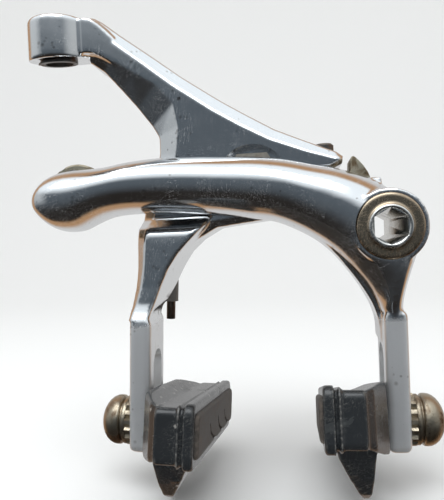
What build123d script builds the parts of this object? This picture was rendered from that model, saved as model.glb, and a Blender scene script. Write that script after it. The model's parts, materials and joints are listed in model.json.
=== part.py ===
from build123d import *
import math
import os

# Dual-pivot side-pull rim brake caliper, in millimetres.
# +Z is up, the front of the brake faces -Y. The origin is on the centre bolt's axis,
# in the face that sits against the fork crown or the frame's bridge.

# ---- Driving dimensions -------------------------------------------------------------

# Stack along the centre bolt, from the mounting face (Y = 0) forwards
SPACER_THICKNESS = 3.0
LOCK_WASHER_THICKNESS = 1.0
LINK_THICKNESS = 5.5
HUB_WASHER_THICKNESS = 0.5
HUB_LENGTH = 7.2
CENTRE_NUT_THICKNESS = 3.2
BOLT_FREE_LENGTH = 18.0
BOLT_THREAD_RADIUS = 3.0
BOLT_JOURNAL_RADIUS = 4.0
BOLT_SHOULDER_RADIUS = 3.4
BOLT_CHAMFER = 0.5
BOLT_END_MARGIN = 0.2
SPACER_RADIUS = 8.0
LOCK_WASHER_RADIUS = 7.5
LOCK_WASHER_TEETH = 20
CENTRE_NUT_HEX = 11.0
LINK_HEAD_RADIUS = 8.2
LINK_PAD_RADIUS = 7.6
LINK_WEB_HEIGHT = 11.0

# Arms
REAR_ARM_FRONT_MARGIN = 0.2
ARM_GAP = 0.8
BAR_DEPTH = 10.0
BAR_HEIGHT = 11.0
BAR_END_RADIUS = 6.0
BAR_ROUNDING = 2.0
REAR_ARM_ROUNDING = 1.5
HUB_WALL = 1.5
LINK_SPAN = 27.9
LINK_DROP = 10.9
PIVOT_BOSS_RADIUS = 7.2
PIVOT_BOSS_PROUD = 1.0
PIVOT_RELIEF_RADIUS = 6.45
PIVOT_RELIEF_DEPTH = 1.7
LEG_THICKNESS = 4.5
LEG_WIDTH = 12.0
LEG_FRONT = -30.0
LEG_ROUNDING = 0.8
LEG_FOOT = 4.9
SHOULDER_DROP = 27.0

# Side pivot
PIVOT_JOURNAL_RADIUS = 4.6
PIVOT_THREAD_RADIUS = 4.5
PIVOT_HEAD_RADIUS = 6.15
PIVOT_HEAD_THICKNESS = 1.2
PIVOT_LIP_RADIUS = 4.0
PIVOT_HEX = 6.0
PIVOT_WASHER_THICKNESS = 0.6
PIVOT_BOSS_REAR = -12.2
PIVOT_NUT_THICKNESS = 2.4
PIVOT_NUT_HEX = 13.0
PIVOT_LIP_PROUD = 0.7

# Fits, on the radius
BUSH_WALL = 0.7
RUNNING_FIT = 0.04
HOLE_FIT = 0.15
SHAFT_GAP = 0.3
SMALL_CHAMFER = 0.4

# Shoes: reach is from the centre bolt down to the shoe bolts, at the foot of the slots
REACH_LEFT = 49.4
REACH_RIGHT = 48.8
SLOT_TRAVEL = 12.0
STUD_RADIUS = 3.0
SLOT_CLEARANCE = 0.2
LEFT_LEG_INNER = -21.75
RIGHT_LEG_INNER = 24.2
LEFT_LEG_LEAN = 2.9
LEFT_SHOE_TILT = 12.5
RIGHT_SHOE_TILT = 17.0
SHOE_WASHER_THICKNESS = 0.8
SHOE_WASHER_RADIUS = 5.6
SHOE_LENGTH = 47.0
HOLDER_BACK = 4.6
HOLDER_HEIGHT = 9.0
HOLDER_END_THICKNESS = 4.5
HOLDER_CORNER = 2.6
STUD_SEAT = 1.0
SHOE_BOSS_LENGTH = 14.0
SHOE_BOSS_HEIGHT = 12.6
LIP_THICKNESS = 1.2
LIP_OVERHANG = 1.2
PAD_PROUD = 1.6
PAD_SUNK = 2.4
PAD_INSET = 0.9
PAD_CORNER = 2.2
PAD_EDGE_ROUNDING = 0.5
GUIDE_DROP = 10.0
GUIDE_ROOT_LENGTH = 34.0
GUIDE_TIP_LENGTH = 10.0
GUIDE_TIP_THICKNESS = 1.8
GUIDE_TIP_FORWARD = 4.0
TOOTH_WASHER_THICKNESS = 1.2
TOOTH_WASHER_RADIUS = 5.0
TOOTH_WASHER_TEETH = 16
TOOTH_NOTCH = 0.9
DOME_RADIUS = 5.4
DOME_HEIGHT = 5.7

# Cable boss, anchor and centring screw
CABLE_X = -41.5
CABLE_Y = -19.5
BOSS_RADIUS = 6.0
BOSS_BOTTOM = 27.5
BOSS_HEIGHT = 9.8
BOSS_ROUNDING = 0.8
INSERT_THREAD_RADIUS = 3.0
INSERT_WALL = 1.0
INSERT_LIP = 0.6
INSERT_LIP_PROUD = 0.4
ANCHOR_BOLT_RADIUS = 2.5
ANCHOR_PLATE_THICKNESS = 1.0
ANCHOR_DISC_THICKNESS = 2.4
ANCHOR_DISC_RADIUS = 6.7
ANCHOR_HEAD_HEIGHT = 4.0
ANCHOR_HEX = 8.0
ANCHOR_COLLAR_THICKNESS = 1.0
ANCHOR_THREAD_DEPTH = 7.0
ANCHOR_THREAD_END = 0.5
CABLE_RADIUS = 0.8
SCREW_X = 14.9
SCREW_RADIUS = 2.0
SCREW_PROUD = 1.6
SCREW_BURIED = 5.4
SCREW_HEX = 2.0
SCREW_SOCKET_DEPTH = 1.6
CONTACT_HEIGHT = 0.0
CONTACT_PLATE_THICKNESS = 1.0
CONTACT_TAB_GAP = 2.7
CONTACT_TAB_HEIGHT = 3.8
CONTACT_TAB_LENGTH = 4.2
CONTACT_PLATE_INSET = 0.6

# Return spring
WIRE_RADIUS = 1.0
HUB_TUBE_WALL = 0.71
COIL_START = 60.0
HOOK_DEPTH = 3.0
TAIL_BEND_RADIUS = 3.0
SLEEVE_WALL = 0.6
SPRING_LUG_THICKNESS = 2.2
KNUCKLE_SWELL = 1.02

# ---- Planes and points worked out from them --------------------------------------------

spacer_front = -SPACER_THICKNESS
link_rear = spacer_front - LOCK_WASHER_THICKNESS
link_front = link_rear - LINK_THICKNESS
hub_rear = link_front - HUB_WASHER_THICKNESS
hub_front = hub_rear - HUB_LENGTH
nut_rear = hub_front - HUB_WASHER_THICKNESS
nut_front = nut_rear - CENTRE_NUT_THICKNESS
bolt_front = nut_front - BOLT_END_MARGIN
rear_arm_front = bolt_front - REAR_ARM_FRONT_MARGIN
bar_rear = rear_arm_front - ARM_GAP
bar_front = bar_rear - BAR_DEPTH
pivot_boss_front = bar_front - PIVOT_BOSS_PROUD
leg_rear = LEG_FRONT + LEG_WIDTH
bolt_y = (LEG_FRONT + leg_rear) / 2

pivot_z = -LINK_DROP
pivot_x = math.sqrt(LINK_SPAN**2 - LINK_DROP**2)
pivot_washer_rear = PIVOT_BOSS_REAR + PIVOT_WASHER_THICKNESS
head_seat = pivot_boss_front + PIVOT_RELIEF_DEPTH

bar_end_x = CABLE_X + CABLE_RADIUS + ANCHOR_BOLT_RADIUS
bar_end_z = -3.0
anchor_z = -1.2
disc_rear = bar_rear + ANCHOR_PLATE_THICKNESS
anchor_head_front = disc_rear + ANCHOR_DISC_THICKNESS

plate_left = 12.6
lug_top = CONTACT_HEIGHT - CONTACT_PLATE_THICKNESS
lug_rear = PIVOT_BOSS_REAR - 0.4
screw_y = (rear_arm_front + PIVOT_BOSS_REAR) / 2
anchor_tip = bar_rear - ANCHOR_THREAD_DEPTH
insert_outer = INSERT_THREAD_RADIUS + INSERT_WALL

centre_bush_outer = BOLT_JOURNAL_RADIUS + RUNNING_FIT + BUSH_WALL
pivot_bush_outer = PIVOT_JOURNAL_RADIUS + RUNNING_FIT + BUSH_WALL
hub_tube_outer = centre_bush_outer + HUB_TUBE_WALL

wire_diameter = 2 * WIRE_RADIUS
coil_inner = hub_tube_outer + HOLE_FIT
coil_radius = coil_inner + WIRE_RADIUS
coil_outer = coil_radius + WIRE_RADIUS
coil_rear_y = hub_rear - WIRE_RADIUS - HOLE_FIT
coil_pitch = wire_diameter + 0.15
tail_bend = (-20.3, hub_rear - 1.4, -18.5)
tail_end = (-21.0, hub_rear - 1.4, -29.8)
bend_reach = math.hypot(tail_bend[0], tail_bend[2])
bend_angle = math.degrees(math.atan2(tail_bend[2], tail_bend[0])) % 360
coil_end = bend_angle - math.degrees(math.acos(coil_radius / bend_reach)) + 360
coil_turns = (coil_end - COIL_START) / 360
coil_front_y = coil_rear_y - coil_pitch * coil_turns
coil_front = coil_front_y - WIRE_RADIUS
tail_start = (coil_radius * math.cos(math.radians(coil_end)), coil_front_y,
              coil_radius * math.sin(math.radians(coil_end)))
sleeve_x = -20.5
sleeve_y = tail_bend[1]
sleeve_outer = WIRE_RADIUS + RUNNING_FIT + SLEEVE_WALL
sleeve_top = -20.9
sleeve_bottom = -25.7


def along_y(radius, y_front, y_rear, x=0.0, z=0.0):
    """A cylinder about an axis parallel to Y."""
    return Pos(x, (y_front + y_rear) / 2, z) * Rot(90, 0, 0) * Cylinder(radius, y_rear - y_front)


def along_x(radius, x_from, x_to, y=0.0, z=0.0):
    """A cylinder about an axis parallel to X."""
    return Pos((x_from + x_to) / 2, y, z) * Rot(0, 90, 0) * Cylinder(radius, x_to - x_from)


def along_z(radius, z_from, z_to, x=0.0, y=0.0):
    """An upright cylinder."""
    return Pos(x, y, (z_from + z_to) / 2) * Cylinder(radius, z_to - z_from)


def block(x_from, x_to, y_from, y_to, z_from, z_to):
    """A box between two corners."""
    centre = Pos((x_from + x_to) / 2, (y_from + y_to) / 2, (z_from + z_to) / 2)
    return centre * Box(x_to - x_from, y_to - y_from, z_to - z_from)


def hex_along_y(across_flats, y_front, y_rear, x=0.0, z=0.0):
    """A hexagonal prism about an axis parallel to Y."""
    face = Plane.XZ.offset(-y_rear) * Pos(x, z) * RegularPolygon(across_flats / 2, 6, major_radius=False)
    return extrude(face, y_rear - y_front, dir=(0, -1, 0))


def slab(edges, y_front, y_rear):
    """The front-view outline made of these edges, filled and given its depth."""
    face = make_face(Plane.XZ.offset(-y_rear) * Wire(edges))
    return extrude(face, y_rear - y_front, dir=(0, -1, 0))


def ring_along_y(outer, inner, y_front, y_rear, x=0.0, z=0.0):
    """A plain washer or bush about an axis parallel to Y."""
    return along_y(outer, y_front, y_rear, x, z) - along_y(inner, y_front, y_rear, x, z)


def toothed_ring(outer, inner, thickness, teeth):
    """A toothed washer lying in the XY plane, from z = 0 up to its thickness."""
    ring = Pos(0, 0, thickness / 2) * (Cylinder(outer, thickness) - Cylinder(inner, thickness))
    notch = Pos(outer, 0, thickness / 2) * Rot(0, 0, 45) * Box(TOOTH_NOTCH, TOOTH_NOTCH, 2 * thickness)
    for index in range(teeth):
        ring -= Rot(0, 0, index * 360 / teeth) * notch
    return ring


def front_edges(solid, y_front, tolerance=0.05):
    """The edges that lie in the plane of a solid's front face."""
    return [edge for edge in solid.edges()
            if abs(edge.bounding_box().min.Y - y_front) < tolerance
            and abs(edge.bounding_box().max.Y - y_front) < tolerance]


# ---- Legs and shoes, built for the right-hand side ---------------------------------------
# Their own frame has the shoe bolt's axis along X, with x = 0 in the leg's inner face,
# +x outwards from the rim and z = 0 at the bolt.

holder_back_x = -SHOE_WASHER_THICKNESS
body_back_x = holder_back_x - HOLDER_BACK
lip_back_x = body_back_x - HOLDER_END_THICKNESS
lip_front_x = lip_back_x - LIP_THICKNESS
pad_face_x = lip_front_x - PAD_PROUD
pad_back_x = lip_front_x + PAD_SUNK
slot_half_width = STUD_RADIUS + SLOT_CLEARANCE
body_half_length = SHOE_LENGTH / 2
body_half_height = HOLDER_HEIGHT / 2
pad_half_height = body_half_height - PAD_INSET
guide_tip_x = holder_back_x - 3.4
dome_seat_x = LEG_THICKNESS + TOOTH_WASHER_THICKNESS


def side_frame(is_left):
    """The place of one leg's shoe bolt, with the leg's own lean."""
    if is_left:
        return Pos(LEFT_LEG_INNER, bolt_y, -REACH_LEFT) * Rot(0, LEFT_LEG_LEAN, 0)
    return Pos(RIGHT_LEG_INNER, bolt_y, -REACH_RIGHT)


def placed(piece, is_left, tilt=0.0):
    """A piece of the right-hand side, tilted about the bolt and put on either leg."""
    turned = Rot(-tilt, 0, 0) * piece
    if is_left:
        turned = mirror(turned, about=Plane.YZ)
    return side_frame(is_left) * turned


def make_leg(height):
    """A flat leg from its foot up to the arm's shoulder, without its slot."""
    half = LEG_WIDTH / 2
    leg = block(0, LEG_THICKNESS, -half, half, -LEG_FOOT, height)
    foot = leg.edges().filter_by(Axis.X).group_by(Axis.Z)[0]
    leg = fillet(foot, LEG_FOOT * 0.6)
    return fillet(leg.edges().filter_by(Axis.Z), LEG_ROUNDING)


def make_slot():
    """The shoe bolt's slot, long enough for its travel, cut through a leg."""
    depth = 4 * LEG_THICKNESS
    ends = along_x(slot_half_width, -depth / 2, depth / 2)
    middle = block(-depth / 2, depth / 2, -slot_half_width, slot_half_width, 0, SLOT_TRAVEL)
    return ends + Pos(0, 0, SLOT_TRAVEL) * ends + middle


def holder_outline(x_edge, half_length, half_height, corner):
    """The holder's rounded outline, seen from the rim, in a plane across x."""
    return Plane.YZ.offset(x_edge) * RectangleRounded(2 * half_length, 2 * half_height, corner)


def make_holder():
    """The shoe's metal holder: lip, body, raised back with its boss, and wheel guide."""
    body = extrude(holder_outline(lip_front_x, body_half_length, body_half_height, HOLDER_CORNER),
                   body_back_x - lip_front_x)
    lip = extrude(holder_outline(lip_front_x, body_half_length + LIP_OVERHANG,
                                 body_half_height + LIP_OVERHANG, HOLDER_CORNER + LIP_OVERHANG),
                  LIP_THICKNESS)
    root = holder_outline(body_back_x - 1.0, body_half_length - 1.0, body_half_height - 0.6, 2.0)
    crown = holder_outline(holder_back_x, SHOE_BOSS_LENGTH / 2, SHOE_BOSS_HEIGHT / 2, 3.0)
    hump = loft([root, crown])
    guide_root = Plane.XY.offset(-body_half_height + 1.5) * Pos((lip_back_x + holder_back_x - 2) / 2, 0)
    guide_tip = Plane.XY.offset(-body_half_height - GUIDE_DROP) * Pos(guide_tip_x, -GUIDE_TIP_FORWARD)
    guide = loft([
        guide_root * Rectangle(holder_back_x - 2 - lip_back_x, GUIDE_ROOT_LENGTH),
        guide_tip * Rectangle(GUIDE_TIP_THICKNESS, GUIDE_TIP_LENGTH),
    ])
    holder = body + lip + hump + guide
    pocket = extrude(holder_outline(lip_front_x, body_half_length - PAD_INSET, pad_half_height,
                                    PAD_CORNER), PAD_SUNK)
    stud_hole = along_x(STUD_RADIUS, pad_back_x + STUD_SEAT, holder_back_x + STUD_SEAT)
    return holder - pocket - stud_hole


def make_pad():
    """The rubber block, seated in the holder's pocket."""
    pad = extrude(holder_outline(pad_face_x, body_half_length - PAD_INSET, pad_half_height,
                                 PAD_CORNER), pad_back_x - pad_face_x)
    return fillet(pad.edges().group_by(Axis.X)[0], PAD_EDGE_ROUNDING)


def make_dome_nut():
    """A blind nut with a smooth domed crown."""
    flank = DOME_HEIGHT * 0.3
    profile = Polyline((0, 0), (DOME_RADIUS, 0), (DOME_RADIUS, flank))
    crown = Spline((DOME_RADIUS, flank), (DOME_RADIUS * 0.86, DOME_HEIGHT * 0.72),
                   (DOME_RADIUS * 0.5, DOME_HEIGHT), tangents=[(0, 1), (-1, 0.02)])
    top = Polyline((DOME_RADIUS * 0.5, DOME_HEIGHT), (0, DOME_HEIGHT), (0, 0))
    dome = revolve(make_face(Plane.XZ * Wire([*profile.edges(), crown, *top.edges()])), Axis.Z)
    dome = Pos(dome_seat_x, 0, 0) * Rot(0, 90, 0) * dome
    return dome - along_x(STUD_RADIUS, dome_seat_x, dome_seat_x + DOME_HEIGHT * 0.6)


def make_stud():
    """The threaded stud, fast in the holder and screwed into the dome nut."""
    return along_x(STUD_RADIUS, pad_back_x + STUD_SEAT, dome_seat_x + DOME_HEIGHT * 0.55)


def make_shoe_washer():
    """The thin plate between holder and leg."""
    return along_x(SHOE_WASHER_RADIUS, holder_back_x, 0) - along_x(
        STUD_RADIUS + HOLE_FIT, holder_back_x, 0)


def make_tooth_washer():
    """The toothed washer between leg and dome nut."""
    ring = toothed_ring(TOOTH_WASHER_RADIUS, STUD_RADIUS + HOLE_FIT, TOOTH_WASHER_THICKNESS,
                        TOOTH_WASHER_TEETH)
    return Pos(LEG_THICKNESS, 0, 0) * Rot(0, 90, 0) * ring


# ---- Arms --------------------------------------------------------------------------------

def make_rear_arm():
    """The arm that turns on the centre bolt: cable boss, finger and left leg."""
    boss_top = BOSS_BOTTOM + BOSS_HEIGHT
    hub_outer = PIVOT_BOSS_RADIUS + HUB_WALL
    boss_right = CABLE_X + BOSS_RADIUS
    corners = [
        (CABLE_X + 2, boss_top), (boss_right + 1.5, boss_top), (-1.5, 14.2), (18.9, 4.2),
        (15.5, 0.9), (12.0, 0.9), (hub_outer, -2.6), (3.5, -hub_outer), (-7.0, -hub_outer), (-14.0, -13.5),
        (-23.2, -13.5), (-20.0, 9.0), (boss_right + 2.5, BOSS_BOTTOM), (CABLE_X + 2, BOSS_BOTTOM),
    ]
    radii = [0.5, 5, 40, 1.5, 1.5, 1.5, 3, 5, 6, 0.5, 0.5, 7, 3, 0.5]
    outline = FilletPolyline(*corners, radius=radii, close=True)
    upper = slab(outline.edges(), rear_arm_front, hub_rear)
    upper = fillet(front_edges(upper, rear_arm_front), REAR_ARM_ROUNDING)
    barrel = along_z(BOSS_RADIUS, BOSS_BOTTOM, boss_top, CABLE_X, CABLE_Y)
    barrel = fillet(barrel.edges().filter_by(GeomType.CIRCLE), BOSS_ROUNDING)

    shoulder = Vector(LEFT_LEG_INNER, 0, -REACH_LEFT) + Vector(
        math.sin(math.radians(LEFT_LEG_LEAN)), 0, math.cos(math.radians(LEFT_LEG_LEAN))
    ) * (REACH_LEFT - SHOULDER_DROP)
    stations = [  # height, left, right, front, rear
        (-6.0, -22.3, -6.5, rear_arm_front, hub_rear),
        (-14.0, -23.3, -14.2, rear_arm_front - 3.4, hub_rear - 3.2),
        (-20.0, -24.0, -18.0, LEG_FRONT + 1.2, hub_rear - 4.5),
        (shoulder.Z - 0.3, shoulder.X - LEG_THICKNESS, shoulder.X, LEG_FRONT, leg_rear),
    ]
    sections = [
        Plane.XY.offset(z) * Pos((left + right) / 2, (front + rear) / 2)
        * Rectangle(right - left, rear - front)
        for z, left, right, front, rear in stations
    ]
    knee = loft(sections, ruled=True)
    leg = placed(make_leg(REACH_LEFT - SHOULDER_DROP + 0.3), True)
    lug_face = sleeve_x - sleeve_outer - SHAFT_GAP
    spring_lug = block(lug_face - SPRING_LUG_THICKNESS, lug_face, leg_rear - 1.0, sleeve_y + 1.0,
                       sleeve_bottom, sleeve_top)
    arm = upper + barrel + knee + leg + spring_lug

    arm -= along_y(PIVOT_BOSS_RADIUS + HOLE_FIT, rear_arm_front, hub_front)
    arm -= along_y(centre_bush_outer, hub_front, hub_rear)
    arm -= ring_along_y(coil_outer + SHAFT_GAP, hub_tube_outer, coil_front - SHAFT_GAP, hub_rear)
    channel_end = Vector(*tail_bend)
    channel_start = Vector(*tail_start)
    middle = (channel_start + channel_end) * 0.5
    run = channel_end - channel_start
    heading = math.degrees(math.atan2(run.Z, run.X))
    channel = Pos(middle.X, (coil_front - SHAFT_GAP + hub_rear) / 2, middle.Z) * Rot(0, -heading, 0) * Box(
        math.hypot(run.X, run.Z) + 2 * wire_diameter, hub_rear - coil_front + SHAFT_GAP,
        wire_diameter + 2 * SHAFT_GAP)
    arm -= channel
    arm -= placed(make_slot(), True)
    arm -= along_z(insert_outer, BOSS_BOTTOM, boss_top, CABLE_X, CABLE_Y)
    arm -= along_z(SCREW_RADIUS + RUNNING_FIT, CONTACT_HEIGHT, boss_top, SCREW_X, screw_y)
    return arm


def bar_outline():
    """The front arm's outline, from the rounded bar end round the side pivot's boss."""
    end_left = bar_end_x - BAR_END_RADIUS
    end_top = bar_end_z + BAR_END_RADIUS
    end_bottom = bar_end_z - BAR_END_RADIUS
    boss_right = pivot_x + PIVOT_BOSS_RADIUS
    boss_bottom = pivot_z - PIVOT_BOSS_RADIUS
    bar_top = 5.4
    corners = [
        (end_left, end_top), (-16.0, bar_top), (6.0, bar_top - 1.8),
        (pivot_x - 1.4, pivot_z + PIVOT_BOSS_RADIUS + 2.0), (boss_right, pivot_z + 4.2),
        (boss_right, boss_bottom), (pivot_x - 6.8, boss_bottom - 2.1),
        (pivot_x - 13.5, boss_bottom + 6.7), (0.0, bar_top - BAR_HEIGHT - 2.4),
        (-26.5, bar_top - BAR_HEIGHT), (-35.0, end_bottom), (end_left, end_bottom),
    ]
    end_rounding = BAR_END_RADIUS * 0.96
    radii = [end_rounding, 80, 60, 9, 5, 6.8, 2.2, 14, 30, 10, 7, end_rounding]
    return FilletPolyline(*corners, radius=radii, close=True).edges()


def make_front_arm():
    """The arm that turns on the side pivot: the bar across the front and the right leg."""
    bar = slab(bar_outline(), bar_front, bar_rear)
    bar = fillet(front_edges(bar, bar_front), BAR_ROUNDING)
    boss = along_y(PIVOT_BOSS_RADIUS, pivot_boss_front, PIVOT_BOSS_REAR, pivot_x, pivot_z)
    leg_outer = RIGHT_LEG_INNER + LEG_THICKNESS
    neck_top = pivot_z - PIVOT_BOSS_RADIUS
    neck = loft([
        Plane.XY.offset(neck_top + 2.0) * Pos(pivot_x, (LEG_FRONT + PIVOT_BOSS_REAR) / 2)
        * Rectangle(PIVOT_BOSS_RADIUS * 1.4, PIVOT_BOSS_REAR - LEG_FRONT),
        Plane.XY.offset(-SHOULDER_DROP - 0.3) * Pos((RIGHT_LEG_INNER + leg_outer) / 2, bolt_y)
        * Rectangle(LEG_THICKNESS, LEG_WIDTH),
    ], ruled=True)
    leg = placed(make_leg(REACH_RIGHT - SHOULDER_DROP + 0.3), False)
    lug = block(plate_left, pivot_x, bar_rear - 1.0, lug_rear, -6.0, lug_top)
    arm = bar + boss + neck + leg + lug
    arm -= along_y(PIVOT_RELIEF_RADIUS, pivot_boss_front, head_seat, pivot_x, pivot_z)
    arm -= along_y(pivot_bush_outer, head_seat, PIVOT_BOSS_REAR, pivot_x, pivot_z)
    arm -= placed(make_slot(), False)
    arm -= along_y(ANCHOR_BOLT_RADIUS + RUNNING_FIT, anchor_tip, bar_rear, bar_end_x, anchor_z)
    return arm


# ---- Centre bolt, link and side pivot -----------------------------------------------------

def make_centre_bolt():
    """The stud: mounting thread, shoulder through link and spacer, journal, nut thread."""
    stud = along_y(BOLT_THREAD_RADIUS, bolt_front, BOLT_FREE_LENGTH)
    stud = chamfer(stud.edges().filter_by(GeomType.CIRCLE), BOLT_CHAMFER)
    journal = along_y(BOLT_JOURNAL_RADIUS, nut_rear, link_front)
    return stud + journal + along_y(BOLT_SHOULDER_RADIUS, link_front, 0.0)


def make_centre_nut():
    """The thin nut that closes the hub, in the rear arm's recess."""
    nut = hex_along_y(CENTRE_NUT_HEX, nut_front, nut_rear)
    return nut - along_y(BOLT_THREAD_RADIUS, nut_front, nut_rear)


def make_centre_washers():
    """The thrust washers before and behind the rear arm's hub."""
    inner = BOLT_JOURNAL_RADIUS + HOLE_FIT
    front = ring_along_y(hub_tube_outer, inner, nut_rear, hub_front)
    rear = ring_along_y(hub_tube_outer, inner, hub_rear, link_front)
    return Compound(children=[front, rear])


def make_centre_bush():
    """The plain bush pressed in the rear arm's hub."""
    return ring_along_y(centre_bush_outer, BOLT_JOURNAL_RADIUS + RUNNING_FIT, hub_front, hub_rear)


def make_link():
    """The link plate that carries the side pivot beside the centre bolt."""
    slope = math.degrees(math.atan2(LINK_DROP, pivot_x))
    middle = Pos(pivot_x / 2, (link_front + link_rear) / 2, pivot_z / 2)
    plate = along_y(LINK_HEAD_RADIUS, link_front, link_rear)
    plate += along_y(LINK_PAD_RADIUS, link_front, link_rear, pivot_x, pivot_z)
    plate += middle * Rot(0, slope, 0) * Box(LINK_SPAN, LINK_THICKNESS, LINK_WEB_HEIGHT)
    plate += along_y(LINK_PAD_RADIUS - 0.8, pivot_washer_rear, link_rear, pivot_x, pivot_z)
    plate -= along_y(BOLT_SHOULDER_RADIUS, link_front, link_rear)
    plate -= along_y(PIVOT_THREAD_RADIUS, pivot_washer_rear, link_rear, pivot_x, pivot_z)
    hook = math.radians(COIL_START)
    plate -= along_y(WIRE_RADIUS + HOLE_FIT, link_front, link_front + HOOK_DEPTH + HOLE_FIT,
                     coil_radius * math.cos(hook), coil_radius * math.sin(hook))
    return plate


def make_side_pivot_bolt():
    """The hollow side pivot: dished head, raised lip, journal and a hexagon right through."""
    head = along_y(PIVOT_HEAD_RADIUS, head_seat - PIVOT_HEAD_THICKNESS, head_seat, pivot_x, pivot_z)
    lip_front = head_seat - PIVOT_HEAD_THICKNESS - PIVOT_LIP_PROUD
    lip = along_y(PIVOT_LIP_RADIUS, lip_front, head_seat, pivot_x, pivot_z)
    journal = along_y(PIVOT_JOURNAL_RADIUS, head_seat, pivot_washer_rear, pivot_x, pivot_z)
    nut_rear_face = link_rear + PIVOT_NUT_THICKNESS
    thread = along_y(PIVOT_THREAD_RADIUS, pivot_washer_rear, nut_rear_face, pivot_x, pivot_z)
    bolt = chamfer(head.edges().group_by(Axis.Y)[0], PIVOT_LIP_PROUD) + lip + journal + thread
    return bolt - hex_along_y(PIVOT_HEX, head_seat - 5, link_rear + 5, pivot_x, pivot_z)


def make_side_pivot_washer():
    """The thrust washer between the front arm's boss and the link."""
    return ring_along_y(PIVOT_BOSS_RADIUS - 0.6, PIVOT_JOURNAL_RADIUS + HOLE_FIT,
                        PIVOT_BOSS_REAR, pivot_washer_rear, pivot_x, pivot_z)


def make_side_pivot_bush():
    """The plain bush pressed in the front arm's boss."""
    return ring_along_y(pivot_bush_outer, PIVOT_JOURNAL_RADIUS + RUNNING_FIT,
                        head_seat, PIVOT_BOSS_REAR, pivot_x, pivot_z)


def make_side_pivot_nut():
    """The thin lock nut behind the link."""
    nut = hex_along_y(PIVOT_NUT_HEX, link_rear, link_rear + PIVOT_NUT_THICKNESS, pivot_x, pivot_z)
    return nut - along_y(PIVOT_THREAD_RADIUS, link_rear, link_rear + PIVOT_NUT_THICKNESS, pivot_x, pivot_z)


def make_lock_washer():
    """The toothed washer between link and spacer."""
    ring = toothed_ring(LOCK_WASHER_RADIUS, BOLT_SHOULDER_RADIUS + HOLE_FIT, LOCK_WASHER_THICKNESS,
                        LOCK_WASHER_TEETH)
    return Pos(0, link_rear, 0) * Rot(-90, 0, 0) * ring


def make_mount_spacer():
    """The spacer that seats on the fork crown."""
    spacer = ring_along_y(SPACER_RADIUS, BOLT_SHOULDER_RADIUS + HOLE_FIT, spacer_front, 0.0)
    return chamfer(spacer.edges().group_by(Axis.Y)[-1], SMALL_CHAMFER)


# ---- Cable boss, anchor, centring screw and spring -----------------------------------------

def make_cable_insert():
    """The threaded bush in the cable boss, with its lip below."""
    body = along_z(insert_outer, BOSS_BOTTOM, BOSS_BOTTOM + BOSS_HEIGHT, CABLE_X, CABLE_Y)
    lip = along_z(insert_outer + INSERT_LIP_PROUD, BOSS_BOTTOM - INSERT_LIP, BOSS_BOTTOM, CABLE_X, CABLE_Y)
    bore = along_z(INSERT_THREAD_RADIUS, BOSS_BOTTOM - 1, BOSS_BOTTOM + BOSS_HEIGHT, CABLE_X, CABLE_Y)
    return body + lip - bore


def make_anchor_bolt():
    """The cable anchor's hexagon bolt, screwed into the bar's end from behind."""
    shank = along_y(ANCHOR_BOLT_RADIUS, anchor_tip + ANCHOR_THREAD_END, anchor_head_front,
                    bar_end_x, anchor_z)
    collar = along_y(ANCHOR_HEX * 0.56, anchor_head_front, anchor_head_front + ANCHOR_COLLAR_THICKNESS,
                     bar_end_x, anchor_z)
    head = hex_along_y(ANCHOR_HEX, anchor_head_front, anchor_head_front + ANCHOR_HEAD_HEIGHT,
                       bar_end_x, anchor_z)
    return shank + collar + head


def make_anchor_disc():
    """The round clamp disc, with the groove that grips the cable."""
    disc = ring_along_y(ANCHOR_DISC_RADIUS, ANCHOR_BOLT_RADIUS + HOLE_FIT, disc_rear, anchor_head_front,
                        bar_end_x, anchor_z)
    rims = [edge for edge in disc.edges().filter_by(GeomType.CIRCLE) if edge.radius > ANCHOR_BOLT_RADIUS + 1]
    disc = chamfer(rims, SMALL_CHAMFER)
    return disc - along_z(CABLE_RADIUS, anchor_z - 10, anchor_z + 10, CABLE_X, disc_rear)


def make_anchor_plate():
    """The hard plate between the clamp disc and the bar."""
    return ring_along_y(BAR_END_RADIUS - 0.6, ANCHOR_BOLT_RADIUS + HOLE_FIT, bar_rear, disc_rear,
                        bar_end_x, anchor_z)


def make_centring_screw():
    """The set screw in the finger, whose tip bears on the contact plate."""
    top = CONTACT_HEIGHT + SCREW_BURIED + SCREW_PROUD
    screw = along_z(SCREW_RADIUS, CONTACT_HEIGHT + SHAFT_GAP, top, SCREW_X, screw_y)
    rims = screw.edges().filter_by(GeomType.CIRCLE).sort_by(Axis.Z)
    screw = chamfer(rims[0], SCREW_RADIUS * 0.75)
    screw = chamfer(screw.edges().group_by(Axis.Z)[-1], SMALL_CHAMFER)
    hexagon = RegularPolygon(SCREW_HEX / 2, 6, major_radius=False)
    return screw - Pos(SCREW_X, screw_y, top - SCREW_SOCKET_DEPTH) * extrude(hexagon, SCREW_PROUD + 1)


def make_contact_plate():
    """The wear plate on the front arm's lug, with its upright tab beside the finger."""
    tab_left = SCREW_X + SCREW_RADIUS + CONTACT_TAB_GAP
    tab_right = tab_left + CONTACT_TAB_LENGTH
    tab_top = CONTACT_HEIGHT + CONTACT_TAB_HEIGHT
    outline = Polyline((plate_left, lug_top), (plate_left, CONTACT_HEIGHT), (tab_left, CONTACT_HEIGHT),
                       (tab_left, tab_top - 0.4), (tab_left + 1.0, tab_top),
                       (tab_right, CONTACT_HEIGHT + 0.4), (tab_right, lug_top), close=True)
    return slab(outline.edges(), bar_rear + CONTACT_PLATE_INSET, lug_rear)


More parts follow.
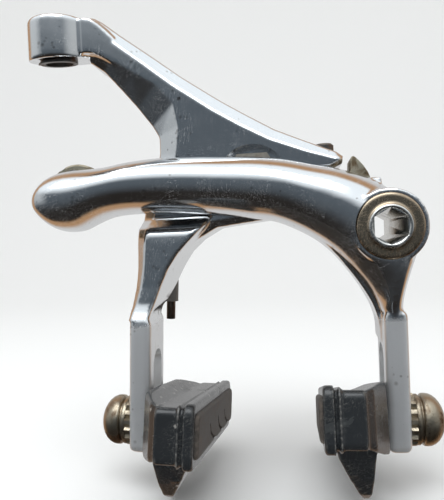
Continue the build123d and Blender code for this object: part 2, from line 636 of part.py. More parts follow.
def make_return_spring():
    """The wire spring: hooked in the link, coiled round the hub, its tail behind the left leg."""
    coil = Helix(coil_pitch, coil_pitch * coil_turns, coil_radius)
    coil = Pos(0, coil_rear_y, 0) * Rot(90, 0, 0) * Rot(0, 0, COIL_START) * coil
    section = Plane(origin=coil @ 0, z_dir=coil % 0) * Circle(WIRE_RADIUS)
    spring = sweep(section, path=coil)
    tail = FilletPolyline(coil @ 1, Vector(*tail_bend), Vector(*tail_end), radius=TAIL_BEND_RADIUS)
    tail_wire = sweep(Plane(origin=tail @ 0, z_dir=tail % 0) * Circle(WIRE_RADIUS), path=tail)
    hook = coil @ 0
    hook_wire = along_y(WIRE_RADIUS, hook.Y, link_front + HOOK_DEPTH, hook.X, hook.Z)
    knuckle = Sphere(WIRE_RADIUS * KNUCKLE_SWELL)
    return spring + Pos(*(coil @ 1)) * knuckle + tail_wire + hook_wire + Pos(*hook) * knuckle


def make_spring_sleeve():
    """The plastic sleeve on the spring's tail, which presses on the rear arm's lug."""
    start, end = Vector(*tail_bend), Vector(*tail_end)
    run = (end - start).normalized()
    top = start + run * ((sleeve_top - start.Z) / run.Z)
    bottom = start + run * ((sleeve_bottom - start.Z) / run.Z)
    plane = Plane(origin=(top + bottom) * 0.5, z_dir=run)
    length = (bottom - top).length
    return plane * Cylinder(sleeve_outer, length) - plane * Cylinder(WIRE_RADIUS + RUNNING_FIT, 2 * length)


# ---- Write every piece ---------------------------------------------------------------------

pieces = {
    "rear_arm": make_rear_arm(),
    "front_arm": make_front_arm(),
    "centre_bolt": make_centre_bolt(),
    "centre_nut": make_centre_nut(),
    "centre_washers": make_centre_washers(),
    "centre_bush": make_centre_bush(),
    "link_plate": make_link(),
    "lock_washer": make_lock_washer(),
    "mount_spacer": make_mount_spacer(),
    "side_pivot_bolt": make_side_pivot_bolt(),
    "side_pivot_bush": make_side_pivot_bush(),
    "side_pivot_washer": make_side_pivot_washer(),
    "side_pivot_nut": make_side_pivot_nut(),
    "cable_insert": make_cable_insert(),
    "anchor_bolt": make_anchor_bolt(),
    "anchor_disc": make_anchor_disc(),
    "anchor_plate": make_anchor_plate(),
    "centring_screw": make_centring_screw(),
    "contact_plate": make_contact_plate(),
    "return_spring": make_return_spring(),
    "spring_sleeve": make_spring_sleeve(),
}
for side, is_left, tilt in (("left", True, LEFT_SHOE_TILT), ("right", False, RIGHT_SHOE_TILT)):
    pieces[side + "_holder"] = placed(make_holder(), is_left, tilt)
    pieces[side + "_pad"] = placed(make_pad(), is_left, tilt)
    pieces[side + "_stud"] = placed(make_stud(), is_left, tilt)
    pieces[side + "_shoe_washer"] = placed(make_shoe_washer(), is_left, tilt)
    pieces[side + "_tooth_washer"] = placed(make_tooth_washer(), is_left)
    pieces[side + "_dome_nut"] = placed(make_dome_nut(), is_left, tilt)

os.makedirs("parts", exist_ok=True)
for name, piece in pieces.items():
    export_step(piece, os.path.join("parts", name + ".step"))
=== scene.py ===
"""Looks for a dual-pivot side-pull rim brake caliper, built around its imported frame.

Sizes in the classes are in millimetres and are turned to metres where a mesh is made.
+X is the brake's right as seen from the front, -Y its front, and +Z is up.
"""
import json
import logging
import math
from dataclasses import dataclass
from enum import Enum
from typing import Callable, Iterable, Sequence

import bpy
import numpy as np
from mathutils import Matrix, Vector


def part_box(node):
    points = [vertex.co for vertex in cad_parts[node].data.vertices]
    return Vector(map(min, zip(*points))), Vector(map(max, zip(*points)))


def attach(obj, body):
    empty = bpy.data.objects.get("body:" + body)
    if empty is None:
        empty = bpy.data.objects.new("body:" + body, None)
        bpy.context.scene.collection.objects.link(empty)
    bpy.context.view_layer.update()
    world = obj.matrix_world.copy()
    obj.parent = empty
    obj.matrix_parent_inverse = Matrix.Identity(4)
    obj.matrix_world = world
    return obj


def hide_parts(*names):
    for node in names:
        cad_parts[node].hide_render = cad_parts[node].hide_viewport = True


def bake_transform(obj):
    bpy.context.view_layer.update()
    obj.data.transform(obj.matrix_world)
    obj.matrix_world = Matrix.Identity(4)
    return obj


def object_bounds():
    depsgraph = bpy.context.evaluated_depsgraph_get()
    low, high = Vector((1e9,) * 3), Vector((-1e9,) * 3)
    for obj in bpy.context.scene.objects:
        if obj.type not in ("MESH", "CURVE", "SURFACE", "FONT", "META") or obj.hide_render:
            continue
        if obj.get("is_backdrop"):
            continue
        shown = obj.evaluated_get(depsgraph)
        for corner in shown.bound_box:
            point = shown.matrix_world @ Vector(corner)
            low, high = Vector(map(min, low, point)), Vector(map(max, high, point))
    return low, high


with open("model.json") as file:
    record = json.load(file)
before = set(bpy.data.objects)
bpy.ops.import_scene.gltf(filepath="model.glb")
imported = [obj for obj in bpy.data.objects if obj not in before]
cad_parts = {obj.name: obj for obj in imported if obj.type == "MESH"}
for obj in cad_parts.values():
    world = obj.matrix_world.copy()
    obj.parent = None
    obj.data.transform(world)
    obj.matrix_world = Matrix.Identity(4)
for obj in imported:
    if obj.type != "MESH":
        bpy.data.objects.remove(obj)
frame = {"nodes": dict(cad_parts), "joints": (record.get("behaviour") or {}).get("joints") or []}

LOG = logging.getLogger("caliper")
MM = 0.001
ARM_VOXEL = 0.30
ARM_PASSES = 9
LEG_BEVEL = 1.25
SLOT_HALF_WIDTH = 3.2
SLOT_TRAVEL = 12.0
Piece = bpy.types.Object
Socket = bpy.types.NodeSocket
Point = tuple[float, float, float]
Ring = list[Point]
Table = tuple[tuple[float, ...], ...]


class Axis(Enum):
    """The direction in which a round or hexagonal tool lies."""

    X = (0.0, math.pi / 2, 0.0)
    Y = (math.pi / 2, 0.0, 0.0)
    Z = (0.0, 0.0, 0.0)


class Side(Enum):
    """Which leg a shoe hangs on."""

    LEFT = "left"
    RIGHT = "right"


# ---- Working on meshes -------------------------------------------------------------------


def set_mode(mode: str) -> None:
    """Switch between object and edit mode."""
    bpy.ops.object.mode_set(mode=mode)


def select_only(*objects: Piece) -> None:
    """Select these objects alone, and make the first one active.

    Args:
        objects: What is to be worked on.
    """
    if bpy.context.object and bpy.context.object.mode != "OBJECT":
        set_mode("OBJECT")
    bpy.ops.object.select_all(action="DESELECT")
    for item in objects:
        item.select_set(True)
    if objects:
        bpy.context.view_layer.objects.active = objects[0]


def place_in_mesh(piece: Piece) -> Piece:
    """Put a piece's place, turn and size into its mesh.

    Args:
        piece: The object to settle.

    Returns:
        The same object, at the origin.
    """
    select_only(piece)
    bpy.ops.object.transform_apply(location=True, rotation=True, scale=True)
    return piece


def face_outwards(piece: Piece) -> None:
    """Merge a piece's doubles and turn its faces outwards.

    Args:
        piece: A closed mesh.
    """
    select_only(piece)
    set_mode("EDIT")
    bpy.ops.mesh.select_all(action="SELECT")
    bpy.ops.mesh.remove_doubles(threshold=0.002 * MM)
    bpy.ops.mesh.normals_make_consistent(inside=False)
    set_mode("OBJECT")


def use_modifier(piece: Piece, kind: str, **settings: object) -> None:
    """Add a modifier to a piece and apply it.

    Args:
        piece: The mesh to change.
        kind: The modifier's type.
        settings: The modifier's values.
    """
    select_only(piece)
    modifier = piece.modifiers.new(kind.title(), kind)
    for name, value in settings.items():
        setattr(modifier, name, value)
    bpy.ops.object.modifier_apply(modifier=modifier.name)


def bevel(piece: Piece, width: float, segments: int, **settings: object) -> None:
    """Round a piece's sharp edges by a width in millimetres."""
    use_modifier(piece, "BEVEL", width=width * MM, segments=segments, limit_method="ANGLE",
                 **settings)


def cut_away(piece: Piece, *tools: Piece) -> Piece:
    """Cut tools out of a piece, and remove the tools.

    Args:
        piece: The mesh that stays.
        tools: Closed meshes.

    Returns:
        The piece.
    """
    for tool in tools:
        use_modifier(piece, "BOOLEAN", operation="DIFFERENCE", object=tool, solver="EXACT")
        bpy.data.objects.remove(tool)
    return piece


def smooth_by_angle(piece: Piece, degrees: float = 35.0) -> Piece:
    """Shade a piece smooth, with its sharp edges kept.

    Args:
        piece: The mesh to shade.
        degrees: Edges that turn by more stay sharp.

    Returns:
        The piece.
    """
    select_only(piece)
    bpy.ops.object.shade_smooth_by_angle(angle=math.radians(degrees))
    return piece


def soften(piece: Piece, voxel: float, passes: int) -> Piece:
    """Melt the joins of a rough piece into cast fillets.

    Args:
        piece: Overlapping closed shapes in one mesh.
        voxel: The mesh's new spacing.
        passes: How often it is smoothed.

    Returns:
        The piece.
    """
    use_modifier(piece, "REMESH", mode="VOXEL", voxel_size=voxel * MM, use_smooth_shade=True)
    use_modifier(piece, "SMOOTH", factor=0.5, iterations=passes)
    return piece


def rod(axis: Axis, radius: float, start: float, end: float, at: Sequence[float],
        sides: int = 64) -> Piece:
    """A round or, with few sides, a prismatic tool.

    Args:
        axis: The direction in which it lies.
        radius: Its radius to the corners.
        start: Its lower end along the axis.
        end: Its upper end along the axis.
        at: Its other two coordinates, in order.
        sides: How many sides it has.

    Returns:
        The tool.
    """
    middle = (start + end) / 2
    spots = {Axis.X: (middle, *at), Axis.Y: (at[0], middle, at[-1]), Axis.Z: (*at, middle)}
    select_only()
    bpy.ops.mesh.primitive_cylinder_add(
        vertices=sides, radius=radius * MM, depth=(end - start) * MM,
        location=Vector(spots[axis]) * MM, rotation=axis.value)
    return place_in_mesh(bpy.context.object)


def block(low: Sequence[float], high: Sequence[float]) -> Piece:
    """A plain tool between two corners.

    Args:
        low: Its lowest corner.
        high: Its highest corner.

    Returns:
        The tool.
    """
    lowest, highest = Vector(low) * MM, Vector(high) * MM
    select_only()
    bpy.ops.mesh.primitive_cube_add(size=1, location=(lowest + highest) / 2)
    made = bpy.context.object
    made.scale = highest - lowest
    return place_in_mesh(made)


def loft(name: str, rings: Sequence[Ring], place: Matrix | None = None) -> Piece:
    """A closed shape drawn through rings that have the same number of points.

    Args:
        name: The piece's name.
        rings: The rings in order.
        place: Where the rings' own frame lies, in millimetres.

    Returns:
        The shape, with its faces outwards.
    """
    where = place or Matrix.Identity(4)
    select_only()
    bpy.ops.mesh.primitive_circle_add(vertices=len(rings[0]), radius=MM, fill_type="NGON")
    piece = bpy.context.object
    piece.name = name
    mesh = piece.data
    set_mode("EDIT")
    bpy.ops.mesh.select_all(action="SELECT")
    for index, ring in enumerate(rings):
        if index:
            bpy.ops.mesh.extrude_region_move()
        set_mode("OBJECT")
        cap = next(face for face in mesh.polygons if face.select)
        for vertex, point in zip(cap.vertices, ring):
            mesh.vertices[vertex].co = (where @ Vector(point)) * MM
        set_mode("EDIT")
    set_mode("OBJECT")
    face_outwards(piece)
    return piece


def join(name: str, pieces: Iterable[Piece]) -> Piece:
    """Put several meshes in one object.

    Args:
        name: The new name.
        pieces: The meshes.

    Returns:
        The joined object.
    """
    parts = list(pieces)
    select_only(*parts)
    bpy.ops.object.join()
    parts[0].name = name
    parts[0].data.name = name
    return parts[0]


def smooth_rows(rows: Sequence[Sequence[float]], count: int) -> list[list[float]]:
    """Draw a smooth run of rows through the given ones.

    Args:
        rows: Rows of the same length, whose first two numbers set the spacing.
        count: How many rows to give back.

    Returns:
        Evenly spaced rows.
    """
    table = np.array(rows, float)
    steps = np.maximum(np.linalg.norm(np.diff(table[:, :2], axis=0), axis=1), 1e-6)
    along = np.concatenate([[0.0], np.cumsum(steps)])
    slope = np.gradient(table, along, axis=0)
    wanted = np.linspace(0.0, along[-1], count)
    index = np.clip(np.searchsorted(along, wanted, side="right") - 1, 0, len(along) - 2)
    span = (along[index + 1] - along[index])[:, None]
    share = (wanted - along[index])[:, None] / span
    rest = 1 - share
    smooth = ((1 + 2 * share) * rest**2 * table[index] + share * rest**2 * span * slope[index]
              + share**2 * (3 - 2 * share) * table[index + 1]
              - share**2 * rest * span * slope[index + 1])
    return smooth.tolist()


def rounded_loop(half_y: float, half_z: float, corner: float, x: float, steps: int = 6) -> Ring:
    """A rounded rectangle in a plane across X.

    Args:
        half_y: Half its length along Y.
        half_z: Half its height along Z.
        corner: The radius of its corners.
        x: The plane.
        steps: Points in each corner.

    Returns:
        The loop's points.
    """
    loop = []
    for quarter, (side_y, side_z) in enumerate(((1, 1), (-1, 1), (-1, -1), (1, -1))):
        for step in range(steps):
            turn = (quarter + step / (steps - 1)) * math.pi / 2
            loop.append((x, side_y * (half_y - corner) + corner * math.cos(turn),
                         side_z * (half_z - corner) + corner * math.sin(turn)))
    return loop


def copy_of_node(node: str, name: str) -> Piece:
    """A merged copy of a CAD node's mesh.

    Args:
        node: The CAD node.
        name: The copy's name.

    Returns:
        The copy, with the node left as it is.
    """
    made = bpy.data.objects.new(name, frame["nodes"][node].data.copy())
    bpy.context.scene.collection.objects.link(made)
    made.data.name = name
    face_outwards(made)
    return made


def centre_of(node: str) -> Vector:
    """The middle of a CAD node's box, in millimetres."""
    low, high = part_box(node)
    return (low + high) / 2 / MM


def circle(radius: float, sides: int) -> list[tuple[float, float]]:
    """The points of a circle round the origin."""
    return [(radius * math.cos(turn), radius * math.sin(turn))
            for turn in np.linspace(0.0, 2 * math.pi, sides + 1)[:-1]]


def with_run(rows: Sequence[Sequence[float]],
             closed: bool = False) -> list[tuple[Sequence[float], Vector]]:
    """Each row of a path, with the way that the path runs there.

    Args:
        rows: Rows whose first two numbers are a point.
        closed: Whether the last row leads back to the first.

    Returns:
        Each row and its unit direction.
    """
    found = []
    for index, row in enumerate(rows):
        if closed:
            before, after = rows[index - 1], rows[(index + 1) % len(rows)]
        else:
            before, after = rows[max(index - 1, 0)], rows[min(index + 1, len(rows) - 1)]
        run = Vector((after[0] - before[0], after[1] - before[1])).normalized()
        found.append((row, run))
    return found


# ---- Node graphs -------------------------------------------------------------------------


class Graph:
    """A short way to build shader nodes and link them."""

    def __init__(self, tree: bpy.types.NodeTree) -> None:
        """Work on this tree."""
        self.tree = tree

    def add(self, kind: str, inputs: dict | None = None, **settings: object) -> bpy.types.Node:
        """Add a node.

        Args:
            kind: The node's type, without its ShaderNode prefix.
            inputs: A value, or a socket to link from, for each named input.
            settings: The node's own properties.

        Returns:
            The node.
        """
        node = self.tree.nodes.new(kind if kind.startswith("Node") else "ShaderNode" + kind)
        for name, value in settings.items():
            setattr(node, name, value)
        for name, value in (inputs or {}).items():
            if isinstance(value, Socket):
                self.tree.links.new(value, node.inputs[name])
            else:
                node.inputs[name].default_value = value
        return node

    def point(self) -> Socket:
        """The shading point in the piece's own coordinates."""
        return self.add("TexCoord").outputs["Object"]

    def math(self, operation: str, first: object, second: object = 0.0) -> Socket:
        """One step of arithmetic.

        Args:
            operation: The Math node's operation.
            first: A number or a socket.
            second: A number or a socket.

        Returns:
            The result's socket.
        """
        return self.add("Math", {0: first, 1: second}, operation=operation).outputs[0]

    def times(self, first: object, second: object) -> Socket:
        """A product."""
        return self.math("MULTIPLY", first, second)

    def centred(self, value: Socket, size: float, middle: float = 0.5) -> Socket:
        """A value's distance from its middle, times a size."""
        return self.times(self.math("SUBTRACT", value, middle), size)

    def shift(self, value: object, mask: object, amount: float) -> Socket:
        """A value that changes by an amount where a mask is 1."""
        return self.math("ADD", value, self.times(mask, amount))

    def noise(self, vector: Socket, scale: float, detail: float = 4.0,
              roughness: float = 0.55) -> Socket:
        """A noise value.

        Args:
            vector: Where to read it.
            scale: Its frequency, per metre.
            detail: Its octaves.
            roughness: How strong the fine octaves are.

        Returns:
            The value's socket.
        """
        return self.add("TexNoise", {"Vector": vector, "Scale": scale, "Detail": detail,
                                     "Roughness": roughness}).outputs["Fac"]

    def ramp(self, value: Socket, low: float, high: float) -> Socket:
        """A value stretched so that low gives 0 and high gives 1.

        Args:
            value: What to stretch.
            low: Where 0 is.
            high: Where 1 is.

        Returns:
            The stretched value's socket.
        """
        return self.add("MapRange", {"Value": value, "From Min": low, "From Max": high},
                        interpolation_type="SMOOTHSTEP").outputs["Result"]

    def mix(self, share: object, first: object, second: object) -> Socket:
        """A mix of two colours.

        Args:
            share: How much of the second there is.
            first: A colour or a socket.
            second: A colour or a socket.

        Returns:
            The colour's socket.
        """
        node = self.add("Mix", data_type="RGBA")
        for index, value in ((0, share), (6, first), (7, second)):
            if isinstance(value, Socket):
                self.tree.links.new(value, node.inputs[index])
            else:
                node.inputs[index].default_value = value
        return node.outputs[2]


def blank_graph(owner: bpy.types.Material | bpy.types.World) -> Graph:
    """The emptied node graph of a material or of the world."""
    owner.use_nodes = True
    owner.node_tree.nodes.clear()
    return Graph(owner.node_tree)


def colour(red: float, green: float, blue: float) -> tuple[float, float, float, float]:
    """An opaque colour."""
    return red, green, blue, 1.0


class EffectGroup:
    """A node group that several finishes share, built once."""

    def __init__(self, name: str, inputs: dict[str, float], outputs: Sequence[str],
                 fill: Callable[[Graph, dict, dict], None]) -> None:
        """Build the group.

        Args:
            name: The group's name.
            inputs: Its number inputs and their values.
            outputs: Its outputs, all numbers.
            fill: Links the inside, from input sockets to output sockets.
        """
        self.tree = bpy.data.node_groups.new(name, "ShaderNodeTree")
        face = self.tree.interface
        for label, value in inputs.items():
            socket = face.new_socket(label, in_out="INPUT", socket_type="NodeSocketFloat")
            socket.default_value = value
        for label in outputs:
            face.new_socket(label, in_out="OUTPUT", socket_type="NodeSocketFloat")
        graph = Graph(self.tree)
        given = graph.add("NodeGroupInput").outputs
        wanted = graph.add("NodeGroupOutput").inputs
        results: dict[str, Socket] = {}
        fill(graph, {label: given[label] for label in inputs}, results)
        for label, socket in results.items():
            self.tree.links.new(socket, wanted[label])

    def place(self, graph: Graph, **values: object) -> bpy.types.Node:
        """Put the group in a material.

        Args:
            graph: The material's graph.
            values: Its inputs, with _ for a space in the name.

        Returns:
            The group's node.
        """
        inputs = {name.replace("_", " "): value for name, value in values.items()}
        return graph.add("Group", inputs, node_tree=self.tree)


def fill_scratches(graph: Graph, given: dict, results: dict) -> None:
    """Fine scratches that run several ways.

    Args:
        graph: The group's graph.
        given: Its inputs.
        results: Where its outputs go.
    """
    point = graph.point()
    total = None
    for turn, seed in ((0.35, 3.0), (-0.9, 11.0), (1.35, 23.0)):
        mapped = graph.add("Mapping", {"Vector": point, "Location": (seed, seed, seed),
                                       "Rotation": (turn, turn * 0.7, turn)}).outputs[0]
        stretched = graph.add("VectorMath", {0: mapped, 1: (1.0, 22.0, 22.0)}, operation="MULTIPLY")
        line = graph.add("TexNoise", {"Vector": stretched.outputs[0], "Scale": given["Scale"],
                                      "Detail": 2.0, "Roughness": 0.5}).outputs["Fac"]
        thin = graph.ramp(graph.math("ABSOLUTE", graph.math("SUBTRACT", line, 0.5)), 0.010, 0.0)
        broken = graph.ramp(graph.noise(mapped, 130.0, 3.0), 0.44, 0.66)
        mark = graph.times(thin, broken)
        total = mark if total is None else graph.math("MAXIMUM", total, mark)
    results["Mask"] = graph.times(total, given["Amount"])


def fill_pits(graph: Graph, given: dict, results: dict) -> None:
    """Scattered small pits, as worn polish has.

    Args:
        graph: The group's graph.
        given: Its inputs.
        results: Where its outputs go.
    """
    point = graph.point()
    cells = graph.add("TexVoronoi", {"Vector": point, "Scale": given["Scale"]})
    patchy = graph.times(graph.ramp(graph.noise(point, 150.0, 3.0), 0.40, 0.72), given["Size"])
    spot = graph.add("MapRange", {"Value": cells.outputs["Distance"], "From Min": patchy,
                                  "From Max": 0.0})
    results["Mask"] = graph.times(spot.outputs["Result"], given["Amount"])


def fill_clouds(graph: Graph, given: dict, results: dict) -> None:
    """Soft stains that cover part of a surface.

    Args:
        graph: The group's graph.
        given: Its inputs.
        results: Where its outputs go.
    """
    point = graph.point()
    broad = graph.add("TexNoise", {"Vector": point, "Scale": given["Scale"], "Detail": 6.0,
                                   "Roughness": 0.62, "Distortion": 0.6}).outputs["Fac"]
    low = graph.shift(0.70, given["Cover"], -0.42)
    high = graph.math("ADD", low, 0.16)
    results["Mask"] = graph.add(
        "MapRange", {"Value": broad, "From Min": low, "From Max": high}).outputs["Result"]


def fill_edges(graph: Graph, given: dict, results: dict) -> None:
    """Where edges stand proud and where hollow corners are made darker.

    Args:
        graph: The group's graph.
        given: Its inputs.
        results: Where its outputs go.
    """
    bend = graph.add("NewGeometry").outputs["Pointiness"]
    rough = graph.noise(graph.point(), 900.0, 3.0)
    shaken = graph.math("ADD", bend, graph.centred(rough, 0.06))
    results["Edge"] = graph.times(graph.ramp(shaken, 0.52, 0.60), given["Wear"])
    # Hollow corners: where the tone is made darker.
    results["Corner"] = graph.times(graph.ramp(shaken, 0.48, 0.42), given["Darkening"])


class Effects:
    """The groups that the finishes share."""

    def __init__(self) -> None:
        """Build the groups."""
        self.scratches = EffectGroup("Fine scratches", {"Scale": 90.0, "Amount": 1.0}, ["Mask"],
                                     fill_scratches)
        self.pits = EffectGroup("Pitting", {"Scale": 900.0, "Size": 0.3, "Amount": 1.0}, ["Mask"],
                                fill_pits)
        self.clouds = EffectGroup("Stain clouds", {"Scale": 120.0, "Cover": 0.4}, ["Mask"],
                                  fill_clouds)
        self.edges = EffectGroup("Edges and corners", {"Wear": 1.0, "Darkening": 1.0},
                                 ["Edge", "Corner"], fill_edges)


@dataclass(frozen=True)
class Metal:
    """A bare metal finish, from mirror polish to rust."""

    name: str
    base: Point
    roughness: float
    stain: Point
    stain_cover: float = 0.25
    stain_scale: float = 120.0
    stain_roughness: float = 0.5
    scratches: float = 0.6
    scratch_scale: float = 90.0
    pits: float = 0.5
    pit_scale: float = 900.0
    grain: float = 0.0
    grain_scale: float = 2600.0
    bump: float = 0.15
    metallic: float = 1.0
    wave: float = 0.0
    satin_below: float | None = None
    satin_roughness: float = 0.30
    satin_metallic: float = 0.72
    hub: str | None = None
    hub_tone: Point = (0.78, 0.78, 0.76)
    hub_edge: tuple[float, float] = (4.15, 3.95)
    satin_edge: float = 1.6
    satin_grain: float = 3.2
    corner_darkening: float = 0.6
    # How far hollow corners are darkened towards the stain tone.
    edge_polish: float = 0.45
    pit_size: float = 0.42
    pit_dark: float = 0.75
    pit_depth: float = 0.9
    scratch_dulls: float = 0.35
    scratch_depth: float = 0.35
    stain_dulls: float = 0.10
    blotches: float = 0.10

    def build(self, effects: Effects) -> bpy.types.Material:
        """Make the material.

        Args:
            effects: The shared groups.

        Returns:
            The material.
        """
        made = bpy.data.materials.new(self.name)
        graph = blank_graph(made)
        point = graph.point()
        scratch = effects.scratches.place(
            graph, Scale=self.scratch_scale, Amount=self.scratches).outputs[0]
        pit = effects.pits.place(
            graph, Scale=self.pit_scale, Size=self.pit_size, Amount=self.pits).outputs[0]
        cloud = effects.clouds.place(
            graph, Scale=self.stain_scale, Cover=self.stain_cover).outputs[0]
        edges = effects.edges.place(graph, Wear=1.0, Darkening=0.8).outputs

        # Stain clouds, and hollow corners darkened towards the stain tone.
        stain_and_dark_corner = graph.math("MAXIMUM", cloud, graph.times(edges["Corner"], self.corner_darkening))
        tone = graph.mix(stain_and_dark_corner, colour(*self.base), colour(*self.stain))
        tone = graph.mix(graph.times(pit, self.pit_dark), tone,
                         colour(*(0.35 * channel for channel in self.stain)))
        bright = colour(*(min(1.0, 1.12 * channel) for channel in self.base))
        tone = graph.mix(graph.times(edges["Edge"], self.edge_polish), tone, bright)
        # Inside hub_edge the tone turns to bright steel; outside it the base stays, which on the
        # pivot is a brown painted table reflection.
        if self.hub:
            axis = centre_of(self.hub) * MM
            mapped = graph.add("Mapping", {"Vector": point, "Location": (-axis.x, 0.0, -axis.z),
                                           "Scale": (1.0, 0.0, 1.0)}).outputs[0]
            away = graph.add("VectorMath", {0: mapped}, operation="LENGTH").outputs["Value"]
            inner = graph.ramp(away, self.hub_edge[0] * MM, self.hub_edge[1] * MM)
            tone = graph.mix(graph.times(inner, 0.9), tone, colour(*self.hub_tone))

        metallic = graph.shift(self.metallic, scratch, -self.scratch_dulls)
        metallic = graph.shift(metallic, cloud, -self.stain_dulls)
        gloss = graph.math("ADD", self.roughness,
                           graph.centred(graph.noise(point, 55.0, 5.0), self.blotches))
        gloss = graph.shift(gloss, scratch, self.scratch_dulls)
        gloss = graph.shift(gloss, cloud, self.stain_roughness - self.roughness)
        height = graph.centred(graph.noise(point, self.grain_scale, 3.0, 0.6), self.grain)
        height = graph.math("ADD", height,
                            graph.centred(graph.noise(point, 110.0, 2.0, 0.4), self.wave))
        if self.satin_below is not None:
            level = graph.add("SeparateXYZ", {0: point}).outputs["Z"]
            wobble = graph.centred(graph.noise(point, 300.0), 1.5 * MM)
            satin = graph.ramp(graph.math("ADD", level, wobble), self.satin_below * MM,
                               (self.satin_below - self.satin_edge) * MM)
            gloss = graph.shift(gloss, satin, self.satin_roughness - self.roughness)
            metallic = graph.shift(metallic, satin, self.satin_metallic - self.metallic)
            cast = graph.centred(graph.noise(point, 1300.0, 3.0, 0.6), self.satin_grain)
            height = graph.math("ADD", height, graph.times(satin, cast))
        height = graph.shift(height, scratch, -self.scratch_depth)
        height = graph.shift(height, pit, -self.pit_depth)
        relief = graph.add("Bump", {"Strength": self.bump, "Distance": 0.06 * MM,
                                    "Height": height})
        shader = graph.add("BsdfPrincipled", {
            "Base Color": tone, "Normal": relief.outputs[0],
            "Metallic": graph.add("Clamp", {"Value": metallic}).outputs[0],
            "Roughness": graph.add("Clamp", {"Value": gloss, "Min": 0.06, "Max": 0.9}).outputs[0]})
        graph.add("OutputMaterial", {"Surface": shader.outputs[0]})
        return made


@dataclass(frozen=True)
class Moulding:
    """Rubber, plastic or paint, with dust, scuffs and worn edges."""

    name: str
    base: Point
    dust: Point
    worn: Point
    roughness: float
    dust_cover: float = 0.35
    dust_scale: float = 260.0
    wear: float = 1.0
    scratches: float = 0.5
    grain_scale: float = 2200.0
    bump: float = 0.4
    specular: float = 0.5

    def build(self, effects: Effects) -> bpy.types.Material:
        """Make the material.

        Args:
            effects: The shared groups.

        Returns:
            The material.
        """
        made = bpy.data.materials.new(self.name)
        graph = blank_graph(made)
        point = graph.point()
        scratch = effects.scratches.place(graph, Scale=70.0, Amount=self.scratches).outputs[0]
        cloud = effects.clouds.place(
            graph, Scale=self.dust_scale, Cover=self.dust_cover).outputs[0]
        edges = effects.edges.place(graph, Wear=self.wear, Darkening=1.0).outputs
        grain = graph.noise(point, self.grain_scale, 4.0, 0.65)
        tone = graph.mix(cloud, colour(*self.base), colour(*self.dust))
        tone = graph.mix(graph.times(edges["Edge"], 0.8), tone, colour(*self.worn))
        tone = graph.mix(graph.times(scratch, 0.5), tone, colour(*self.worn))
        gloss = graph.math("ADD", self.roughness, graph.centred(cloud, 0.22, 0.3))
        height = graph.math("SUBTRACT", grain, graph.times(scratch, 0.6))
        relief = graph.add("Bump", {"Strength": self.bump, "Distance": 0.08 * MM, "Height": height})
        shader = graph.add("BsdfPrincipled", {
            "Base Color": tone, "Metallic": 0.0, "Normal": relief.outputs[0],
            "Specular IOR Level": self.specular,
            "Roughness": graph.add("Clamp", {"Value": gloss, "Min": 0.12, "Max": 0.95}).outputs[0]})
        graph.add("OutputMaterial", {"Surface": shader.outputs[0]})
        return made


FINISHES: dict[str, Metal | Moulding] = {
    "arm_alloy": Metal("Polished arm alloy", (0.80, 0.81, 0.82), 0.13, (0.42, 0.36, 0.30), 0.12,
        60.0, 0.30, 0.6, 110.0, 0.8, 700.0, wave=9.0, satin_below=-27.6),
    "link_alloy": Metal("Satin link alloy", (0.58, 0.57, 0.55), 0.38, (0.20, 0.17, 0.13), 0.45,
        140.0, 0.6, grain=0.4, bump=0.3),
    # Pivot chrome: its brown base tone is a painted reflection of the tan table, given as tarnish;
    # inside the hub the tone turns to bright steel.
    "pivot_steel": Metal("Pivot chrome with painted table reflection", (0.50, 0.40, 0.29), 0.24, (0.26, 0.16, 0.09), 0.40,
        160.0, 0.4, 0.8, 120.0, 0.5, wave=6.0, hub="side_pivot_bolt"),
    "zinc_steel": Metal("Tarnished zinc", (0.46, 0.42, 0.36), 0.40, (0.17, 0.13, 0.09), 0.5,
        220.0, 0.65, pits=0.7, grain=0.5, bump=0.4),
    "dark_steel": Metal("Blackened steel", (0.16, 0.15, 0.14), 0.42, (0.20, 0.10, 0.05), 0.45,
        300.0, 0.75, pits=0.8, grain=0.7, bump=0.5),
    "worn_steel": Metal("Corroded steel", (0.40, 0.37, 0.29), 0.48, (0.16, 0.11, 0.06), 0.6,
        320.0, 0.8, pits=0.9, pit_scale=1100.0, grain=0.9, bump=0.7),
    "bright_steel": Metal("Bright steel", (0.68, 0.67, 0.65), 0.24, (0.32, 0.26, 0.19), 0.3,
        200.0, 0.5),
    "dome_steel": Metal("Tarnished dome steel", (0.44, 0.38, 0.29), 0.30, (0.13, 0.075, 0.04),
        0.52, 260.0, 0.60, 0.7, 100.0, 1.0, 800.0, grain=1.2, bump=0.6, wave=6.0),
    "bronze": Metal("Plain bronze", (0.60, 0.42, 0.22), 0.34, (0.25, 0.15, 0.08), 0.4),
    "black_plastic": Moulding("Black plastic", (0.02, 0.02, 0.02), (0.10, 0.09, 0.08),
        (0.16, 0.15, 0.14), 0.45),
    "holder_black": Moulding("Worn holder black", (0.016, 0.018, 0.02), (0.055, 0.06, 0.06),
        (0.30, 0.29, 0.27), 0.30, 0.22, 150.0, 0.9, 0.7, 1800.0, 0.35, 0.5),
    "pad_rubber": Moulding("Brake rubber", (0.050, 0.042, 0.036), (0.115, 0.095, 0.08),
        (0.20, 0.18, 0.16), 0.62, 0.5, 420.0, 0.8, 0.7, 2600.0, 0.6, 0.35),
}


class Palette:
    """Every finish's material, made once."""

    def __init__(self) -> None:
        """Build the shared groups and all the finishes."""
        effects = Effects()
        self.materials = {slot: finish.build(effects) for slot, finish in FINISHES.items()}

    def paint(self, piece: Piece, slot: str) -> None:
        """Give a piece its finish.

        Args:
            piece: The piece.
            slot: The record's slot.
        """
        if piece.material_slots:
            for place in piece.material_slots:
                place.material = self.materials[slot]
        else:
            piece.data.materials.append(self.materials[slot])


